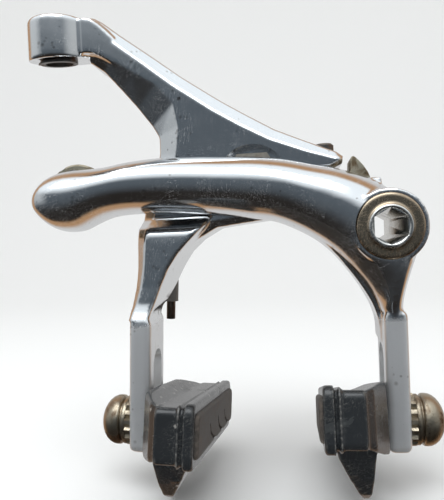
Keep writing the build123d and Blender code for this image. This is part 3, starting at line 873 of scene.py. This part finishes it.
@dataclass
class Part:
    """A sub-assembly, with the palette that dresses it."""

    palette: Palette

    def seat(self, piece: Piece, angle: float, slot: str, body: str, node: str) -> Piece:
        """Shade, paint and seat a finished piece.

        Args:
            piece: The piece.
            angle: Edges that turn by more degrees stay sharp.
            slot: The record's slot.
            body: The body that it rides on.
            node: The CAD node that it stands for.

        Returns:
            The piece.
        """
        smooth_by_angle(piece, angle)
        self.palette.paint(piece, slot)
        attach(piece, body)
        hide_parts(node)
        return piece

    def build(self) -> list[Piece]:
        """Make and seat the pieces."""
        raise NotImplementedError


# ---- Arms --------------------------------------------------------------------------------


@dataclass
class FrontArm(Part):
    """The bar across the front with its end, side-pivot boss, neck and right leg."""

    crown: float = 2.35
    side: float = 2.15
    boss_radius: float = 7.0
    boss_front: float = -31.9
    boss_rear: float = -12.2
    relief_radius: float = 6.35
    relief_floor: float = -31.4
    bore_radius: float = 5.34
    anchor_hole: float = 2.54
    lug_corner: tuple[float, float] = (-23.0, -7.0)
    leg: Point = (24.2, -30.0, -53.7)
    leg_size: Point = (4.5, 12.0, 27.0)
    # Upper edge (x, z), lower edge (x, z), rear and front of each section, from the bar's end
    sections: Table = (
        (-45.5, -2.2, -45.5, -3.4, -23.4, -26.6), (-45.2, -0.9, -45.2, -4.9, -22.3, -28.2),
        (-44.4, 0.6, -44.4, -6.2, -22.1, -29.7), (-43.0, 2.1, -43.0, -7.6, -22.1, -31.0),
        (-41.0, 3.2, -41.0, -8.8, -22.1, -31.8), (-38.5, 3.7, -38.5, -9.2, -22.1, -32.1),
        (-35.5, 3.9, -35.5, -8.9, -22.1, -32.1), (-33.0, 3.9, -33.0, -7.8, -22.1, -32.1),
        (-29.8, 4.1, -29.8, -6.6, -22.1, -32.1), (-26.0, 4.7, -26.0, -6.1, -22.1, -32.1),
        (-20.0, 5.2, -20.0, -6.2, -22.1, -32.1), (-12.0, 5.1, -12.0, -6.7, -22.1, -32.1),
        (-5.0, 4.7, -5.0, -7.4, -22.1, -32.1), (0.5, 4.4, -0.5, -8.1, -22.1, -32.1),
        (6.5, 3.6, 4.5, -9.0, -22.1, -32.0), (12.0, 2.3, 8.7, -10.8, -22.1, -31.9),
        (17.0, 1.1, 12.4, -13.0, -22.1, -32.1), (21.6, -0.4, 15.0, -15.2, -21.0, -32.4),
        (26.4, -2.9, 17.3, -17.8, -20.0, -32.7), (30.3, -5.4, 19.1, -20.2, -19.2, -32.7),
        (32.6, -9.2, 20.6, -22.4, -18.6, -32.7), (32.6, -13.4, 21.7, -24.3, -18.2, -32.2),
        (31.2, -17.4, 22.6, -26.0, -18.0, -31.6), (29.8, -21.5, 23.2, -27.4, -18.0, -31.0),
        (28.9, -25.5, 23.7, -28.2, -18.0, -30.3), (28.62, -28.6, 24.25, -29.6, -18.2, -30.0),
    )
    # The flange behind the arch: inner edge (x, z), how deep it is, rear and front
    flange: Table = (
        (6.0, -9.2, 2.0, -22.6, -24.0), (9.5, -10.8, 3.0, -20.5, -25.0),
        (14.6, -14.4, 4.0, -17.0, -26.0), (18.0, -18.4, 4.5, -14.5, -26.5),
        (20.8, -22.4, 4.6, -13.6, -26.5), (22.9, -26.4, 4.4, -15.5, -26.5),
        (23.6, -29.0, 4.0, -18.0, -26.5), (23.8, -33.0, 3.5, -18.2, -26.5),
    )

    def section(self, row: Sequence[float], steps: int = 28) -> Ring:
        """One crowned section.

        Args:
            row: The two edges, the rear and the front.
            steps: Points over the crown.

        Returns:
            The section's ring.
        """
        upper, lower = Vector((row[0], row[1])), Vector((row[2], row[3]))
        middle, reach = (upper + lower) / 2, (upper - lower) / 2
        ring = []
        for step in range(steps + 1):
            turn = math.pi * step / steps
            across = math.copysign(abs(math.cos(turn)) ** (2 / self.crown), math.cos(turn))
            depth = math.sin(turn) ** (2 / self.side)
            spot = middle + reach * across
            ring.append((spot.x, row[4] + depth * (row[5] - row[4]), spot.y))
        for share in (-0.5, 0.0, 0.5):
            spot = middle + reach * share
            ring.append((spot.x, row[4], spot.y))
        return ring

    @staticmethod
    def flange_ring(row: Sequence[float], run: Vector) -> Ring:
        """One section of the flange behind the arch.

        Args:
            row: The inner edge, the depth, the rear and the front.
            run: The way that the flange runs.

        Returns:
            The section's ring.
        """
        across, up, depth, rear, front = row
        inwards = Vector((-run.y, run.x)) * depth
        deep = Vector((across, up)) + inwards
        return [(across, rear, up), (across, front, up), (deep.x, front, deep.y),
                (deep.x, rear, deep.y)]

    def build(self) -> list[Piece]:
        """Make the arm.

        Returns:
            The finished piece.
        """
        pivot = centre_of("side_pivot_bush")
        axis = (pivot.x, pivot.z)
        bar = loft("bar", [self.section(row) for row in smooth_rows(self.sections, 90)])
        boss = rod(Axis.Y, self.boss_radius, self.boss_front, self.boss_rear, axis, 96)
        flange = loft("flange", [self.flange_ring(row, run)
                                 for row, run in with_run(smooth_rows(self.flange, 24))])
        low = Vector(self.leg)
        leg = block(low, low + Vector(self.leg_size))
        bevel(leg, LEG_BEVEL, 4)
        plate_low, plate_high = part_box("contact_plate")
        lug = block((plate_low.x / MM, *self.lug_corner),
                    (pivot.x, plate_high.y / MM, plate_low.z / MM))
        arm = join("front_arm_body", [bar, boss, flange, leg, lug])
        soften(arm, ARM_VOXEL, ARM_PASSES)
        relief = rod(Axis.Y, self.relief_radius, self.boss_front - 3, self.relief_floor, axis, 96)
        bore = rod(Axis.Y, self.bore_radius, -34.0, -10.0, axis)
        anchor = centre_of("anchor_bolt")
        tapped = rod(Axis.Y, self.anchor_hole, -29.1, -21.0, (anchor.x, anchor.z), 48)
        cut_away(arm, relief, bore, tapped, slot_tool(Side.RIGHT))
        return [self.seat(arm, 40, "arm_alloy", "front_lever", "front_arm")]


@dataclass
class PivotBolt(Part):
    """The hollow side pivot, with a dished flange and a rounded lip round its socket."""

    across_flats: float = 5.9
    # Radius and depth of the turned profile, from its rear end
    profile: Table = (
        (4.0, -1.7), (4.0, -12.0), (4.6, -12.1), (4.6, -31.3), (5.95, -31.4), (6.12, -31.6),
        (6.15, -32.0), (6.05, -32.28), (5.85, -32.42), (5.4, -32.48), (4.7, -32.46),
        (4.25, -32.5), (4.05, -32.65), (3.98, -32.95), (3.84, -33.17), (3.6, -33.28),
        (3.35, -33.2), (3.2, -33.0),
    )

    def build(self) -> list[Piece]:
        """Make the bolt.

        Returns:
            The finished piece.
        """
        axis = centre_of("side_pivot_bolt")
        bolt = loft("pivot_bolt", [[(axis.x + across, y, axis.z + up)
                                    for across, up in circle(radius, 96)]
                                   for radius, y in self.profile])
        corner = self.across_flats / math.sqrt(3)
        cut_away(bolt, rod(Axis.Y, corner, -35.0, 1.0, (axis.x, axis.z), 6))
        return [self.seat(bolt, 50, "pivot_steel", "root", "side_pivot_bolt")]


@dataclass
class ContactPlate(Part):
    """The thin hooked plate that the centring screw bears on."""

    outline: Table = (
        (12.7, -0.95), (12.7, -0.1), (19.2, -0.1), (19.8, 0.6), (19.9, 3.1), (20.2, 3.6),
        (20.7, 3.5), (21.5, 2.7), (22.4, 1.6), (23.2, 0.3), (23.7, -0.9),
    )

    def build(self) -> list[Piece]:
        """Make the plate.

        Returns:
            The finished piece.
        """
        low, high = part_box("contact_plate")
        plate = loft("contact_piece", [[(x, y / MM, z) for x, z in self.outline]
                                       for y in (low.y, high.y)])
        bevel(plate, 0.22, 3)
        return [self.seat(plate, 40, "worn_steel", "front_lever", "contact_plate")]


@dataclass
class CableInsert(Part):
    """The threaded insert in the cable boss, cut to the slope of the boss."""

    level: float = 27.0
    slope: float = 9.0

    def build(self) -> list[Piece]:
        """Make the insert.

        Returns:
            The finished piece.
        """
        insert = copy_of_node("cable_insert", "cable_bush")
        below = block((-55.0, -40.0, 10.0), (-30.0, 0.0, self.level))
        slope_top(below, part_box("cable_insert")[0].y, self.slope)
        cut_away(insert, below)
        return [self.seat(insert, 35, "dark_steel", "rear_lever", "cable_insert")]


def slope_top(tool: Piece, hinge: float, degrees: float) -> None:
    """Raise the rear of a tool's top face, so that it slopes.

    Args:
        tool: A block.
        hinge: Where along Y the top keeps its height, in metres.
        degrees: The slope.
    """
    middle = sum(vertex.co.z for vertex in tool.data.vertices) / len(tool.data.vertices)
    for vertex in tool.data.vertices:
        if vertex.co.z > middle:
            vertex.co.z += (vertex.co.y - hinge) * math.tan(math.radians(degrees))


def shoe_place(side: Side, tilt: float = 0.0) -> Matrix:
    """The frame of one leg's shoe bolt: x runs outwards from the rim.

    Args:
        side: Which leg.
        tilt: How far the shoe's front end is raised, in degrees.

    Returns:
        The frame, in millimetres.
    """
    name = side.value + "_shoe_turn"
    joint = next(joint for joint in frame["joints"] if joint["name"] == name)
    axis = Vector(joint["axis"])
    lean = math.atan2(-axis.z, axis.x)
    place = Matrix.Translation(Vector(joint["pos_m"]) / MM) @ Matrix.Rotation(lean, 4, "Y")
    if side is Side.LEFT:
        place = place @ Matrix.Scale(-1, 4, (1, 0, 0))
    return place @ Matrix.Rotation(math.radians(-tilt), 4, "X")


def slot_tool(side: Side) -> Piece:
    """What cuts the shoe bolt's slot in a leg.

    Args:
        side: Which leg.

    Returns:
        The tool.
    """
    ends = ((SLOT_TRAVEL, 0.0), (0.0, math.pi))
    turns = [(height, start + math.pi * step / 32) for height, start in ends for step in range(33)]
    return loft("slot", [[(x, SLOT_HALF_WIDTH * math.cos(turn),
                           height + SLOT_HALF_WIDTH * math.sin(turn)) for height, turn in turns]
                         for x in (-9.0, 9.0)], shoe_place(side))


@dataclass
class RearArm(Part):
    """The arm on the centre bolt: cable boss, finger, knee and left leg."""

    face: float = -21.3
    rear: float = -10.0
    # Outline (x, z), how wide the bevel is inside it, and how far the bevel falls back
    outline: Table = (
        (-37.0, 37.2, 1.5, 1.4), (-33.3, 37.1, 1.8, 1.8), (-31.4, 36.0, 2.1, 2.0),
        (-27.7, 33.0, 2.2, 2.1), (-21.2, 28.1, 2.4, 2.1), (-14.5, 22.9, 2.6, 2.1),
        (-6.3, 17.2, 2.7, 2.1), (-1.0, 13.9, 2.7, 2.1), (4.7, 10.5, 2.5, 2.0),
        (12.0, 7.2, 2.1, 1.8), (17.2, 5.0, 1.6, 1.5), (18.6, 3.9, 1.2, 1.5),
        (18.4, 2.4, 1.0, 1.2), (16.0, 1.2, 1.0, 0.6), (12.0, 0.9, 1.0, 0.5), (9.6, 0.0, 1.0, 0.5),
        (8.7, -2.6, 1.0, 0.5), (7.2, -5.4, 1.0, 0.5), (3.5, -8.3, 1.2, 0.6),
        (-3.0, -9.0, 1.5, 0.8), (-8.0, -9.6, 1.5, 0.8), (-13.4, -12.6, 1.5, 0.8),
        (-17.0, -14.5, 1.5, 0.5), (-22.0, -14.5, 1.5, 0.5), (-24.0, -12.0, 2.2, 1.5),
        (-23.6, -6.0, 3.2, 2.6), (-21.9, 1.0, 4.2, 3.0), (-20.2, 7.0, 4.3, 3.2),
        (-20.3, 10.6, 5.2, 3.6), (-21.8, 13.2, 6.8, 4.0), (-24.9, 17.4, 6.4, 3.8),
        (-28.0, 21.2, 4.6, 3.2), (-31.6, 25.4, 3.0, 2.4), (-34.4, 27.4, 1.6, 1.5),
        (-37.0, 27.6, 1.0, 1.0),
    )
    boss_radius: float = 6.4
    boss_bottom: float = 27.5
    boss_top: float = 36.7
    boss_slope: float = 9.0
    # Height, left, right at the front, right at the rear, front, rear, left chamfer
    knee: Table = (
        (0.0, -22.6, -10.0, -10.0, -21.3, -10.1, 3.0),
        (-4.0, -23.7, -9.0, -9.0, -21.3, -10.1, 3.0),
        (-7.2, -24.3, -9.0, -8.6, -21.4, -10.1, 2.9),
        (-8.4, -24.4, -9.4, -8.8, -23.5, -10.2, 2.7),
        (-9.4, -24.3, -10.2, -9.4, -25.6, -10.6, 2.5),
        (-10.6, -24.2, -11.4, -10.8, -26.3, -11.0, 2.4),
        (-12.5, -24.2, -13.3, -12.5, -26.6, -11.7, 2.2),
        (-14.5, -24.1, -15.2, -14.6, -26.8, -12.5, 2.0),
        (-17.5, -24.1, -17.3, -16.5, -27.1, -13.2, 1.8),
        (-21.0, -24.4, -18.9, -18.2, -27.5, -14.2, 1.6),
        (-24.5, -25.0, -20.2, -20.0, -28.2, -15.6, 1.3),
        (-26.0, -25.3, -20.8, -21.2, -28.8, -17.0, 1.0),
        (-27.6, -25.5, -21.2, -21.4, -29.8, -18.0, 0.8),
    )
    leg_size: Point = (4.5, 12.0, 27.0)
    leg_foot: float = 4.9
    hub_recess: tuple[float, float] = (7.35, -17.2)
    hub_bore: float = 4.74
    spring_seat: Point = (7.9, 5.45, -14.1)
    insert_hole: float = 4.0
    screw_hole: float = 2.04
    pinhole: Point = (0.42, -14.8, 17.8)
    # The run from the cable boss to the arm: x, top, bottom and front
    valley: Table = (
        (-41.5, 36.6, 28.0, -25.0), (-39.0, 36.7, 28.0, -24.4), (-37.2, 36.8, 28.0, -22.9),
        (-36.2, 36.9, 28.1, -22.5), (-34.6, 36.9, 28.2, -22.9), (-33.0, 36.6, 28.0, -22.9),
        (-31.0, 35.2, 27.2, -22.0), (-28.5, 32.8, 25.6, -21.2),
    )

    def upper(self) -> Piece:
        """The flat upper part with its bevelled front.

        Returns:
            A rough shape.
        """
        back = [(x, self.rear, z) for x, z, _, _ in self.outline]
        edge = [(x, self.face + fall, z) for x, z, _, fall in self.outline]
        face = [(x + run.y * width, self.face, z - run.x * width)
                for (x, z, width, _), run in with_run(self.outline, closed=True)]
        return loft("upper", [back, edge, face])

    def build(self) -> list[Piece]:
        """Make the arm.

        Returns:
            The finished piece.
        """
        upper = self.upper()
        cable = centre_of("cable_insert")
        boss = rod(Axis.Z, self.boss_radius, self.boss_bottom, self.boss_top,
                   (cable.x, cable.y), 96)
        bevel(boss, 0.8, 4, angle_limit=1.0)
        valley = loft("valley", [[(x, -12.0, top), (x, front, top - 0.8), (x, front, bottom + 0.5),
                                  (x, -12.0, bottom)]
                                 for x, top, bottom, front in smooth_rows(self.valley, 16)])
        knee = loft("knee", [[(left, rear, z), (left, front + cut, z), (left + cut, front, z),
                              (inner - 0.6, front, z), (inner, front + 0.6, z), (deep, rear, z)]
                             for z, left, inner, deep, front, rear, cut in self.knee[::-1]])
        place = shoe_place(Side.LEFT)
        thick, wide, tall = self.leg_size
        leg = block((0, -wide / 2, -self.leg_foot), (thick, wide / 2, tall - self.leg_foot))
        bevel(leg, LEG_BEVEL, 4)
        for vertex in leg.data.vertices:
            vertex.co = (place @ (vertex.co / MM)) * MM
        face_outwards(leg)
        lug_low, lug_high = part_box("spring_sleeve")
        lug = block((-25.2, -19.0, lug_low.z / MM + 0.3), (-22.5, -10.6, lug_high.z / MM - 0.3))
        arm = join("rear_arm_body", [upper, boss, valley, knee, leg, lug])
        soften(arm, ARM_VOXEL, ARM_PASSES)
        self.drill(arm, cable)
        return [self.seat(arm, 40, "arm_alloy", "rear_lever", "rear_arm")]

    def drill(self, arm: Piece, cable: Vector) -> None:
        """Cut the hub, the spring's seat, the slot and the threads.

        Args:
            arm: The arm.
            cable: The cable insert's centre.
        """
        middle = (0.0, 0.0)
        radius, floor = self.hub_recess
        recess = rod(Axis.Y, radius, -24.0, floor, middle, 96)
        bore = rod(Axis.Y, self.hub_bore, -18.0, -8.0, middle)
        outer, inner, floor = self.spring_seat
        seat = cut_away(rod(Axis.Y, outer, floor, -8.0, middle, 96),
                        rod(Axis.Y, inner, -15.0, -7.0, middle))
        below = block((-55.0, -40.0, 10.0), (-34.2, 0.0, self.boss_bottom))
        slope_top(below, (cable.y - self.boss_radius) * MM, self.boss_slope)
        insert = rod(Axis.Z, self.insert_hole, 20.0, 42.0, (cable.x, cable.y))
        screw = centre_of("centring_screw")
        tapped = rod(Axis.Z, self.screw_hole, 0.0, 12.0, (screw.x, screw.y), 48)
        radius, *spot = self.pinhole
        pinhole = rod(Axis.Y, radius, -24.0, -20.2, spot, 24)
        cut_away(arm, below, recess, bore, seat, insert, tapped, pinhole, slot_tool(Side.LEFT))


# ---- Shoes -------------------------------------------------------------------------------


@dataclass
class Shoe(Part):
    """One brake shoe: holder with its guide, rubber block and fastenings."""

    side: Side
    tilt: float
    rise: float
    half_length: float = 23.5
    half_height: float = 4.75
    lip: float = 0.75
    back: float = -0.8
    body_back: float = -5.1
    lip_back: float = -10.4
    lip_front: float = -12.2
    pad_face: float = -12.9
    pad_back: float = -8.7
    wall: float = 0.9
    # Where the water grooves start along the rubber, and how they run, as (along, up)
    groove_starts: tuple[float, ...] = (-10.5, -0.5, 9.0)
    groove_run: Table = (
        (0.0, 0.5), (0.8, -0.9), (3.0, -2.2), (7.0, -3.2), (12.0, -4.3))
    groove_half: float = 0.42
    groove_depth: float = 0.9
    stud_hole: float = 3.0
    # The tyre guide below the holder and the ridge on it: height, then (outwards, along) of
    # each corner
    guide: tuple[tuple, ...] = (
        (-3.4, (-10.1, 17.5), (-10.1, -17.5), (-3.2, -16.5), (-3.2, 16.5)),
        (-6.6, (-9.2, 13.5), (-9.8, -16.2), (-3.4, -15.4), (-3.0, 12.0)),
        (-10.4, (-7.2, 7.0), (-7.8, -12.4), (-3.6, -12.0), (-3.0, 6.4)),
        (-13.4, (-5.6, 1.8), (-6.1, -9.0), (-3.9, -8.8), (-3.2, 1.6)),
        (-14.4, (-4.9, -1.0), (-5.3, -6.6), (-4.2, -6.4), (-3.7, -1.0)),
    )
    ridge: tuple[tuple, ...] = (
        (-4.4, (-9.3, -14.0), (-10.6, -16.6), (-8.6, -17.0)),
        (-9.6, (-7.2, -11.4), (-8.4, -13.2), (-6.6, -13.4)),
        (-14.0, (-4.9, -6.0), (-5.7, -7.4), (-4.6, -7.4)),
    )

    def place(self) -> Matrix:
        """The shoe's own frame, raised in its slot."""
        return shoe_place(self.side, self.tilt) @ Matrix.Translation((0.0, 0.0, self.rise))

    def shell(self, name: str, grow: float, *rows: Sequence[float]) -> Piece:
        """A closed form through rounded rectangles.

        Args:
            name: Its name.
            grow: What is added to the shoe's half length and half height.
            rows: What is taken off both again, the corner's radius and the plane.

        Returns:
            The form.
        """
        return loft(name, [rounded_loop(self.half_length + grow - along,
                                        self.half_height + grow - up, corner, x)
                           for along, up, corner, x in rows], self.place())

    def horn(self, name: str, rows: Sequence[tuple]) -> Piece:
        """A closed form through level sections."""
        return loft(name, [[(x, y, z) for x, y in corners] for z, *corners in rows], self.place())

    def holder(self) -> Piece:
        """Make the holder.

        Returns:
            The finished piece.
        """
        front, back, root, lip = self.lip_front, self.lip_back, self.body_back, self.lip
        body = self.shell("body", 0.0, (0.2, 0.1, 1.3, front), (0.0, 0.0, 1.3, back),
                          (0.0, 0.0, 1.3, root - 0.4), (0.5, 0.3, 1.3, root))
        rim = self.shell("rim", lip, (0.3, 0.3, 2.0, front), (0.0, 0.0, 2.0, front + 0.4),
                         (0.0, 0.0, 2.0, back))
        bead = self.shell("bead", 0.5, (0.0, 0.0, 1.8, back + 0.75), (0.0, 0.0, 1.8, back + 1.15))
        hump = self.shell("hump", 0.0, (0.6, 0.3, 1.4, root - 0.6), (3.0, -0.5, 1.6, root + 1.4),
                          (7.0, -1.25, 2.0, root + 3.0), (10.0, -1.55, 2.2, self.back))
        made = join("holder", [body, rim, bead, hump, self.horn("guide", self.guide),
                               self.horn("ridge", self.ridge)])
        soften(made, 0.26, 3)
        pocket = self.shell("pocket", -self.wall, (0.0, 0.0, 1.4, front - 2.0),
                            (0.0, 0.0, 1.4, self.pad_back))
        bore = loft("bore", [[(x, across, up - self.rise)
                              for across, up in circle(self.stud_hole, 48)]
                             for x in (self.pad_back + 1.0, 1.0)], self.place())
        cut_away(made, pocket, bore)
        return self.dress(made, 38, "_shoe_holder", "_holder", "holder_black")

    def pad(self) -> Piece:
        """Make the rubber block with its water grooves.

        Returns:
            The finished piece.
        """
        face = self.pad_face
        pad = self.shell("pad", -self.wall, (0.0, 0.0, 1.4, self.pad_back),
                         (0.0, 0.0, 1.4, face + 0.6), (0.2, 0.2, 1.3, face + 0.2),
                         (0.6, 0.6, 1.2, face))
        soften(pad, 0.28, 1)
        cut_away(pad, *(self.groove(start) for start in self.groove_starts))
        return self.dress(pad, 40, "_shoe_rubber", "_pad", "pad_rubber")

    def groove(self, start: float) -> Piece:
        """What cuts one water groove.

        Args:
            start: Where it starts along the rubber.

        Returns:
            The tool.
        """
        top, floor = self.pad_face - 1.0, self.pad_face + self.groove_depth
        rings = []
        path = smooth_rows([(start + along, up) for along, up in self.groove_run], 14)
        for (y, z), run in with_run(path):
            run = run * self.groove_half
            rings.append([(top, y - run.y, z + run.x), (top, y + run.y, z - run.x),
                          (floor, y + run.y * 0.6, z - run.x * 0.6),
                          (floor, y - run.y * 0.6, z + run.x * 0.6)])
        return loft("groove", rings, self.place())

    def dress(self, piece: Piece, angle: float, ending: str, node: str, slot: str) -> Piece:
        """Name and seat one of the shoe's pieces.

        Args:
            piece: The piece.
            angle: Edges that turn by more degrees stay sharp.
            ending: The end of its new name.
            node: The end of the name of the CAD node that it stands for.
            slot: The record's slot.

        Returns:
            The piece.
        """
        piece.name = self.side.value + ending
        piece.data.name = piece.name
        return self.seat(piece, angle, slot, self.side.value + "_shoe", self.side.value + node)

    def build(self) -> list[Piece]:
        """Make the holder and the rubber."""
        return [self.holder(), self.pad()]


# ---- Small parts and the studio ------------------------------------------------------------


@dataclass
class DomeNut(Part):
    """The domed nut that clamps a shoe, with a collar and a groove."""

    side: Side
    # Distance outwards and radius of the turned profile
    profile: Table = (
        (5.7, 4.2), (5.74, 4.7), (5.95, 4.85), (6.4, 4.85), (6.6, 4.7), (6.72, 4.35),
        (6.95, 4.35), (7.08, 4.8), (7.3, 4.98), (7.9, 5.02), (8.6, 4.92), (9.3, 4.6), (9.9, 4.12),
        (10.4, 3.5), (10.8, 2.8), (11.1, 2.0), (11.28, 1.2), (11.36, 0.4),
    )

    def build(self) -> list[Piece]:
        """Make the nut.

        Returns:
            The finished piece.
        """
        side = self.side.value
        nut = loft(side + "_cap_nut", [[(x, across, up) for across, up in circle(radius, 64)]
                                       for x, radius in self.profile], shoe_place(self.side))
        nut.data.name = nut.name
        return [self.seat(nut, 40, "dome_steel", side + "_shoe", side + "_dome_nut")]


@dataclass
class ReturnSpring(Part):
    """The wire spring, copied whole from its CAD node and kept as one fixed piece."""

    bend_start: Point = (-5.5, -13.8, 3.7)

    def build(self) -> list[Piece]:
        """Make the spring.

        Returns:
            The finished piece.
        """
        spring = copy_of_node("return_spring", "spring_wire")
        smooth_by_angle(spring, 45)
        self.palette.paint(spring, "dark_steel")
        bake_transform(spring)
        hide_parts("return_spring")
        return [spring]


@dataclass
class Studio:
    """The pale floor, the lights and the camera."""

    lens: float = 40.32
    sensor: float = 36.0
    eye: Point = (10.07, -137.0, -11.89)
    right: Point = (0.98855, 0.14483, -0.04228)
    up: Point = (0.03884, 0.02649, 0.99889)
    window_spot: Point = (-60.0, -200.0, 360.0)
    window_aim: Point = (0.0, -20.0, 0.0)
    window_size: tuple[float, float] = (420 * MM, 240 * MM)
    window_power: float = 1.0
    window_tint: Point = (0.95, 0.98, 1.0)
    floor_drop: float = 0.3
    floor_size: tuple[float, float] = (40.0, 20.8)
    floor_middle: float = -9.6
    wall_height: float = 2.0
    wall_curve: float = 0.5
    even: Point = (0.86, 0.87, 0.88)
    room_low: Point = (0.025, 0.022, 0.020)
    room_front: Point = (0.095, 0.115, 0.135)
    room_left: Point = (0.52, 0.55, 0.57)
    room_right: Point = (0.45, 0.47, 0.48)
    room_window: Point = (1.02, 1.09, 1.14)
    room_table: Point = (0.48, 0.29, 0.16)
    room_back: Point = (0.66, 0.66, 0.66)

    def camera(self) -> None:
        """Make the camera."""
        data = bpy.data.cameras.new("camera")
        data.lens, data.sensor_width = self.lens, self.sensor
        data.clip_start, data.clip_end = 0.005, 10.0
        made = bpy.data.objects.new("camera", data)
        bpy.context.scene.collection.objects.link(made)
        right, up = Vector(self.right).normalized(), Vector(self.up).normalized()
        back = right.cross(up)
        made.matrix_world = (Matrix.Translation(Vector(self.eye) * MM)
                             @ Matrix((right, up, back)).transposed().to_4x4())
        bpy.context.scene.camera = made

    def window(self) -> None:
        """Add the one soft light."""
        data = bpy.data.lights.new("window", "AREA")
        data.shape, data.size, data.size_y = "RECTANGLE", *self.window_size
        data.energy, data.color = self.window_power, self.window_tint
        lamp = bpy.data.objects.new("window", data)
        bpy.context.scene.collection.objects.link(lamp)
        spot, aim = Vector(self.window_spot), Vector(self.window_aim)
        lamp.location = spot * MM
        lamp.rotation_euler = (aim - spot).to_track_quat("-Z", "Y").to_euler()

    def backdrop(self) -> None:
        """Make the floor, which curves up behind."""
        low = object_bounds()[0]
        select_only()
        bpy.ops.mesh.primitive_plane_add(size=1)
        sheet = bpy.context.object
        sheet.name = "floor"
        sheet.scale = (*self.floor_size, 1.0)
        sheet.location = (0.0, self.floor_middle, low.z - self.floor_drop * MM)
        place_in_mesh(sheet)
        edge = max(vertex.co.y for vertex in sheet.data.vertices)
        set_mode("EDIT")
        bpy.ops.mesh.select_all(action="DESELECT")
        set_mode("OBJECT")
        for line in sheet.data.edges:
            line.select = all(abs(sheet.data.vertices[i].co.y - edge) < 1e-6 for i in line.vertices)
        set_mode("EDIT")
        bpy.ops.mesh.extrude_edges_move(TRANSFORM_OT_translate={"value": (0, 0, self.wall_height)})
        set_mode("OBJECT")
        bevel(sheet, self.wall_curve / MM, 16)
        smooth_by_angle(sheet, 60)
        made = bpy.data.materials.new("Pale floor")
        made.use_nodes = True
        shader = made.node_tree.nodes["Principled BSDF"]
        shader.inputs["Base Color"].default_value = colour(0.93, 0.93, 0.92)
        shader.inputs["Roughness"].default_value = 0.9
        sheet.data.materials.append(made)
        sheet.visible_glossy = False
        sheet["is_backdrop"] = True

    def world(self) -> None:
        """Fill the room: even light, and a window, walls and table for the metal to mirror."""
        world = bpy.data.worlds.new("room")
        bpy.context.scene.world = world
        graph = blank_graph(world)
        path = graph.add("LightPath").outputs
        way = graph.add("SeparateXYZ", {0: graph.add("TexCoord").outputs["Generated"]}).outputs
        room = graph.mix(graph.ramp(way["Z"], -0.75, 0.25), colour(*self.room_low),
                         colour(*self.room_front))
        left = graph.times(graph.ramp(way["X"], -0.6, -0.95), graph.ramp(way["Z"], -0.25, 0.2))
        right = graph.times(graph.ramp(way["X"], 0.55, 0.95), graph.ramp(way["Z"], -0.45, 0.2))
        for share, tone in ((left, self.room_left), (right, self.room_right),
                            (graph.ramp(way["Z"], 0.27, 0.66), self.room_window),
                            (graph.ramp(way["Y"], 0.12, 0.38), self.room_table),
                            (graph.ramp(way["Y"], 0.52, 0.80), self.room_back)):
            room = graph.mix(share, room, colour(*tone))
        seen = graph.mix(path["Is Glossy Ray"], colour(*self.even), room)
        back = graph.add("Background", {"Color": seen, "Strength": 1.0})
        graph.add("OutputWorld", {"Surface": back.outputs[0]})

    def build(self) -> None:
        """Make the whole studio."""
        self.camera()
        self.backdrop()
        self.world()
        self.window()
        bpy.context.scene.view_settings.view_transform = "Standard"


NODE_FINISHES = {
    "centre_bolt": "zinc_steel", "centre_nut": "zinc_steel", "centre_washers": "bright_steel",
    "centre_bush": "bronze", "link_plate": "link_alloy", "lock_washer": "zinc_steel",
    "mount_spacer": "link_alloy", "side_pivot_bush": "bronze",
    "side_pivot_washer": "black_plastic", "side_pivot_nut": "zinc_steel",
    "anchor_bolt": "zinc_steel", "anchor_disc": "worn_steel", "anchor_plate": "bright_steel",
    "centring_screw": "dark_steel", "spring_sleeve": "black_plastic",
}
SHOE_FINISHES = {"_stud": "bright_steel", "_shoe_washer": "bright_steel",
                 "_tooth_washer": "dome_steel"}


def main() -> None:
    """Build every sub-assembly, dress the carried-over nodes and set up the studio."""
    logging.basicConfig(level=logging.INFO, format="%(name)s: %(message)s")
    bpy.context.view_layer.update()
    palette = Palette()
    parts: list[Part] = [
        FrontArm(palette), RearArm(palette), PivotBolt(palette), ContactPlate(palette),
        CableInsert(palette), Shoe(palette, Side.LEFT, 9.5, 1.3),
        Shoe(palette, Side.RIGHT, 15.5, 0.8), DomeNut(palette, Side.LEFT),
        DomeNut(palette, Side.RIGHT), ReturnSpring(palette)]
    for part in parts:
        for piece in part.build():
            LOG.info("made %s with %d faces", piece.name, len(piece.data.polygons))
    finishes = dict(NODE_FINISHES)
    for side in Side:
        finishes.update({side.value + node: slot for node, slot in SHOE_FINISHES.items()})
    for node, slot in finishes.items():
        palette.paint(frame["nodes"][node], slot)
        LOG.info("dressed %s in %s", node, slot)
    Studio().build()


if __name__ == "__main__":
    main()
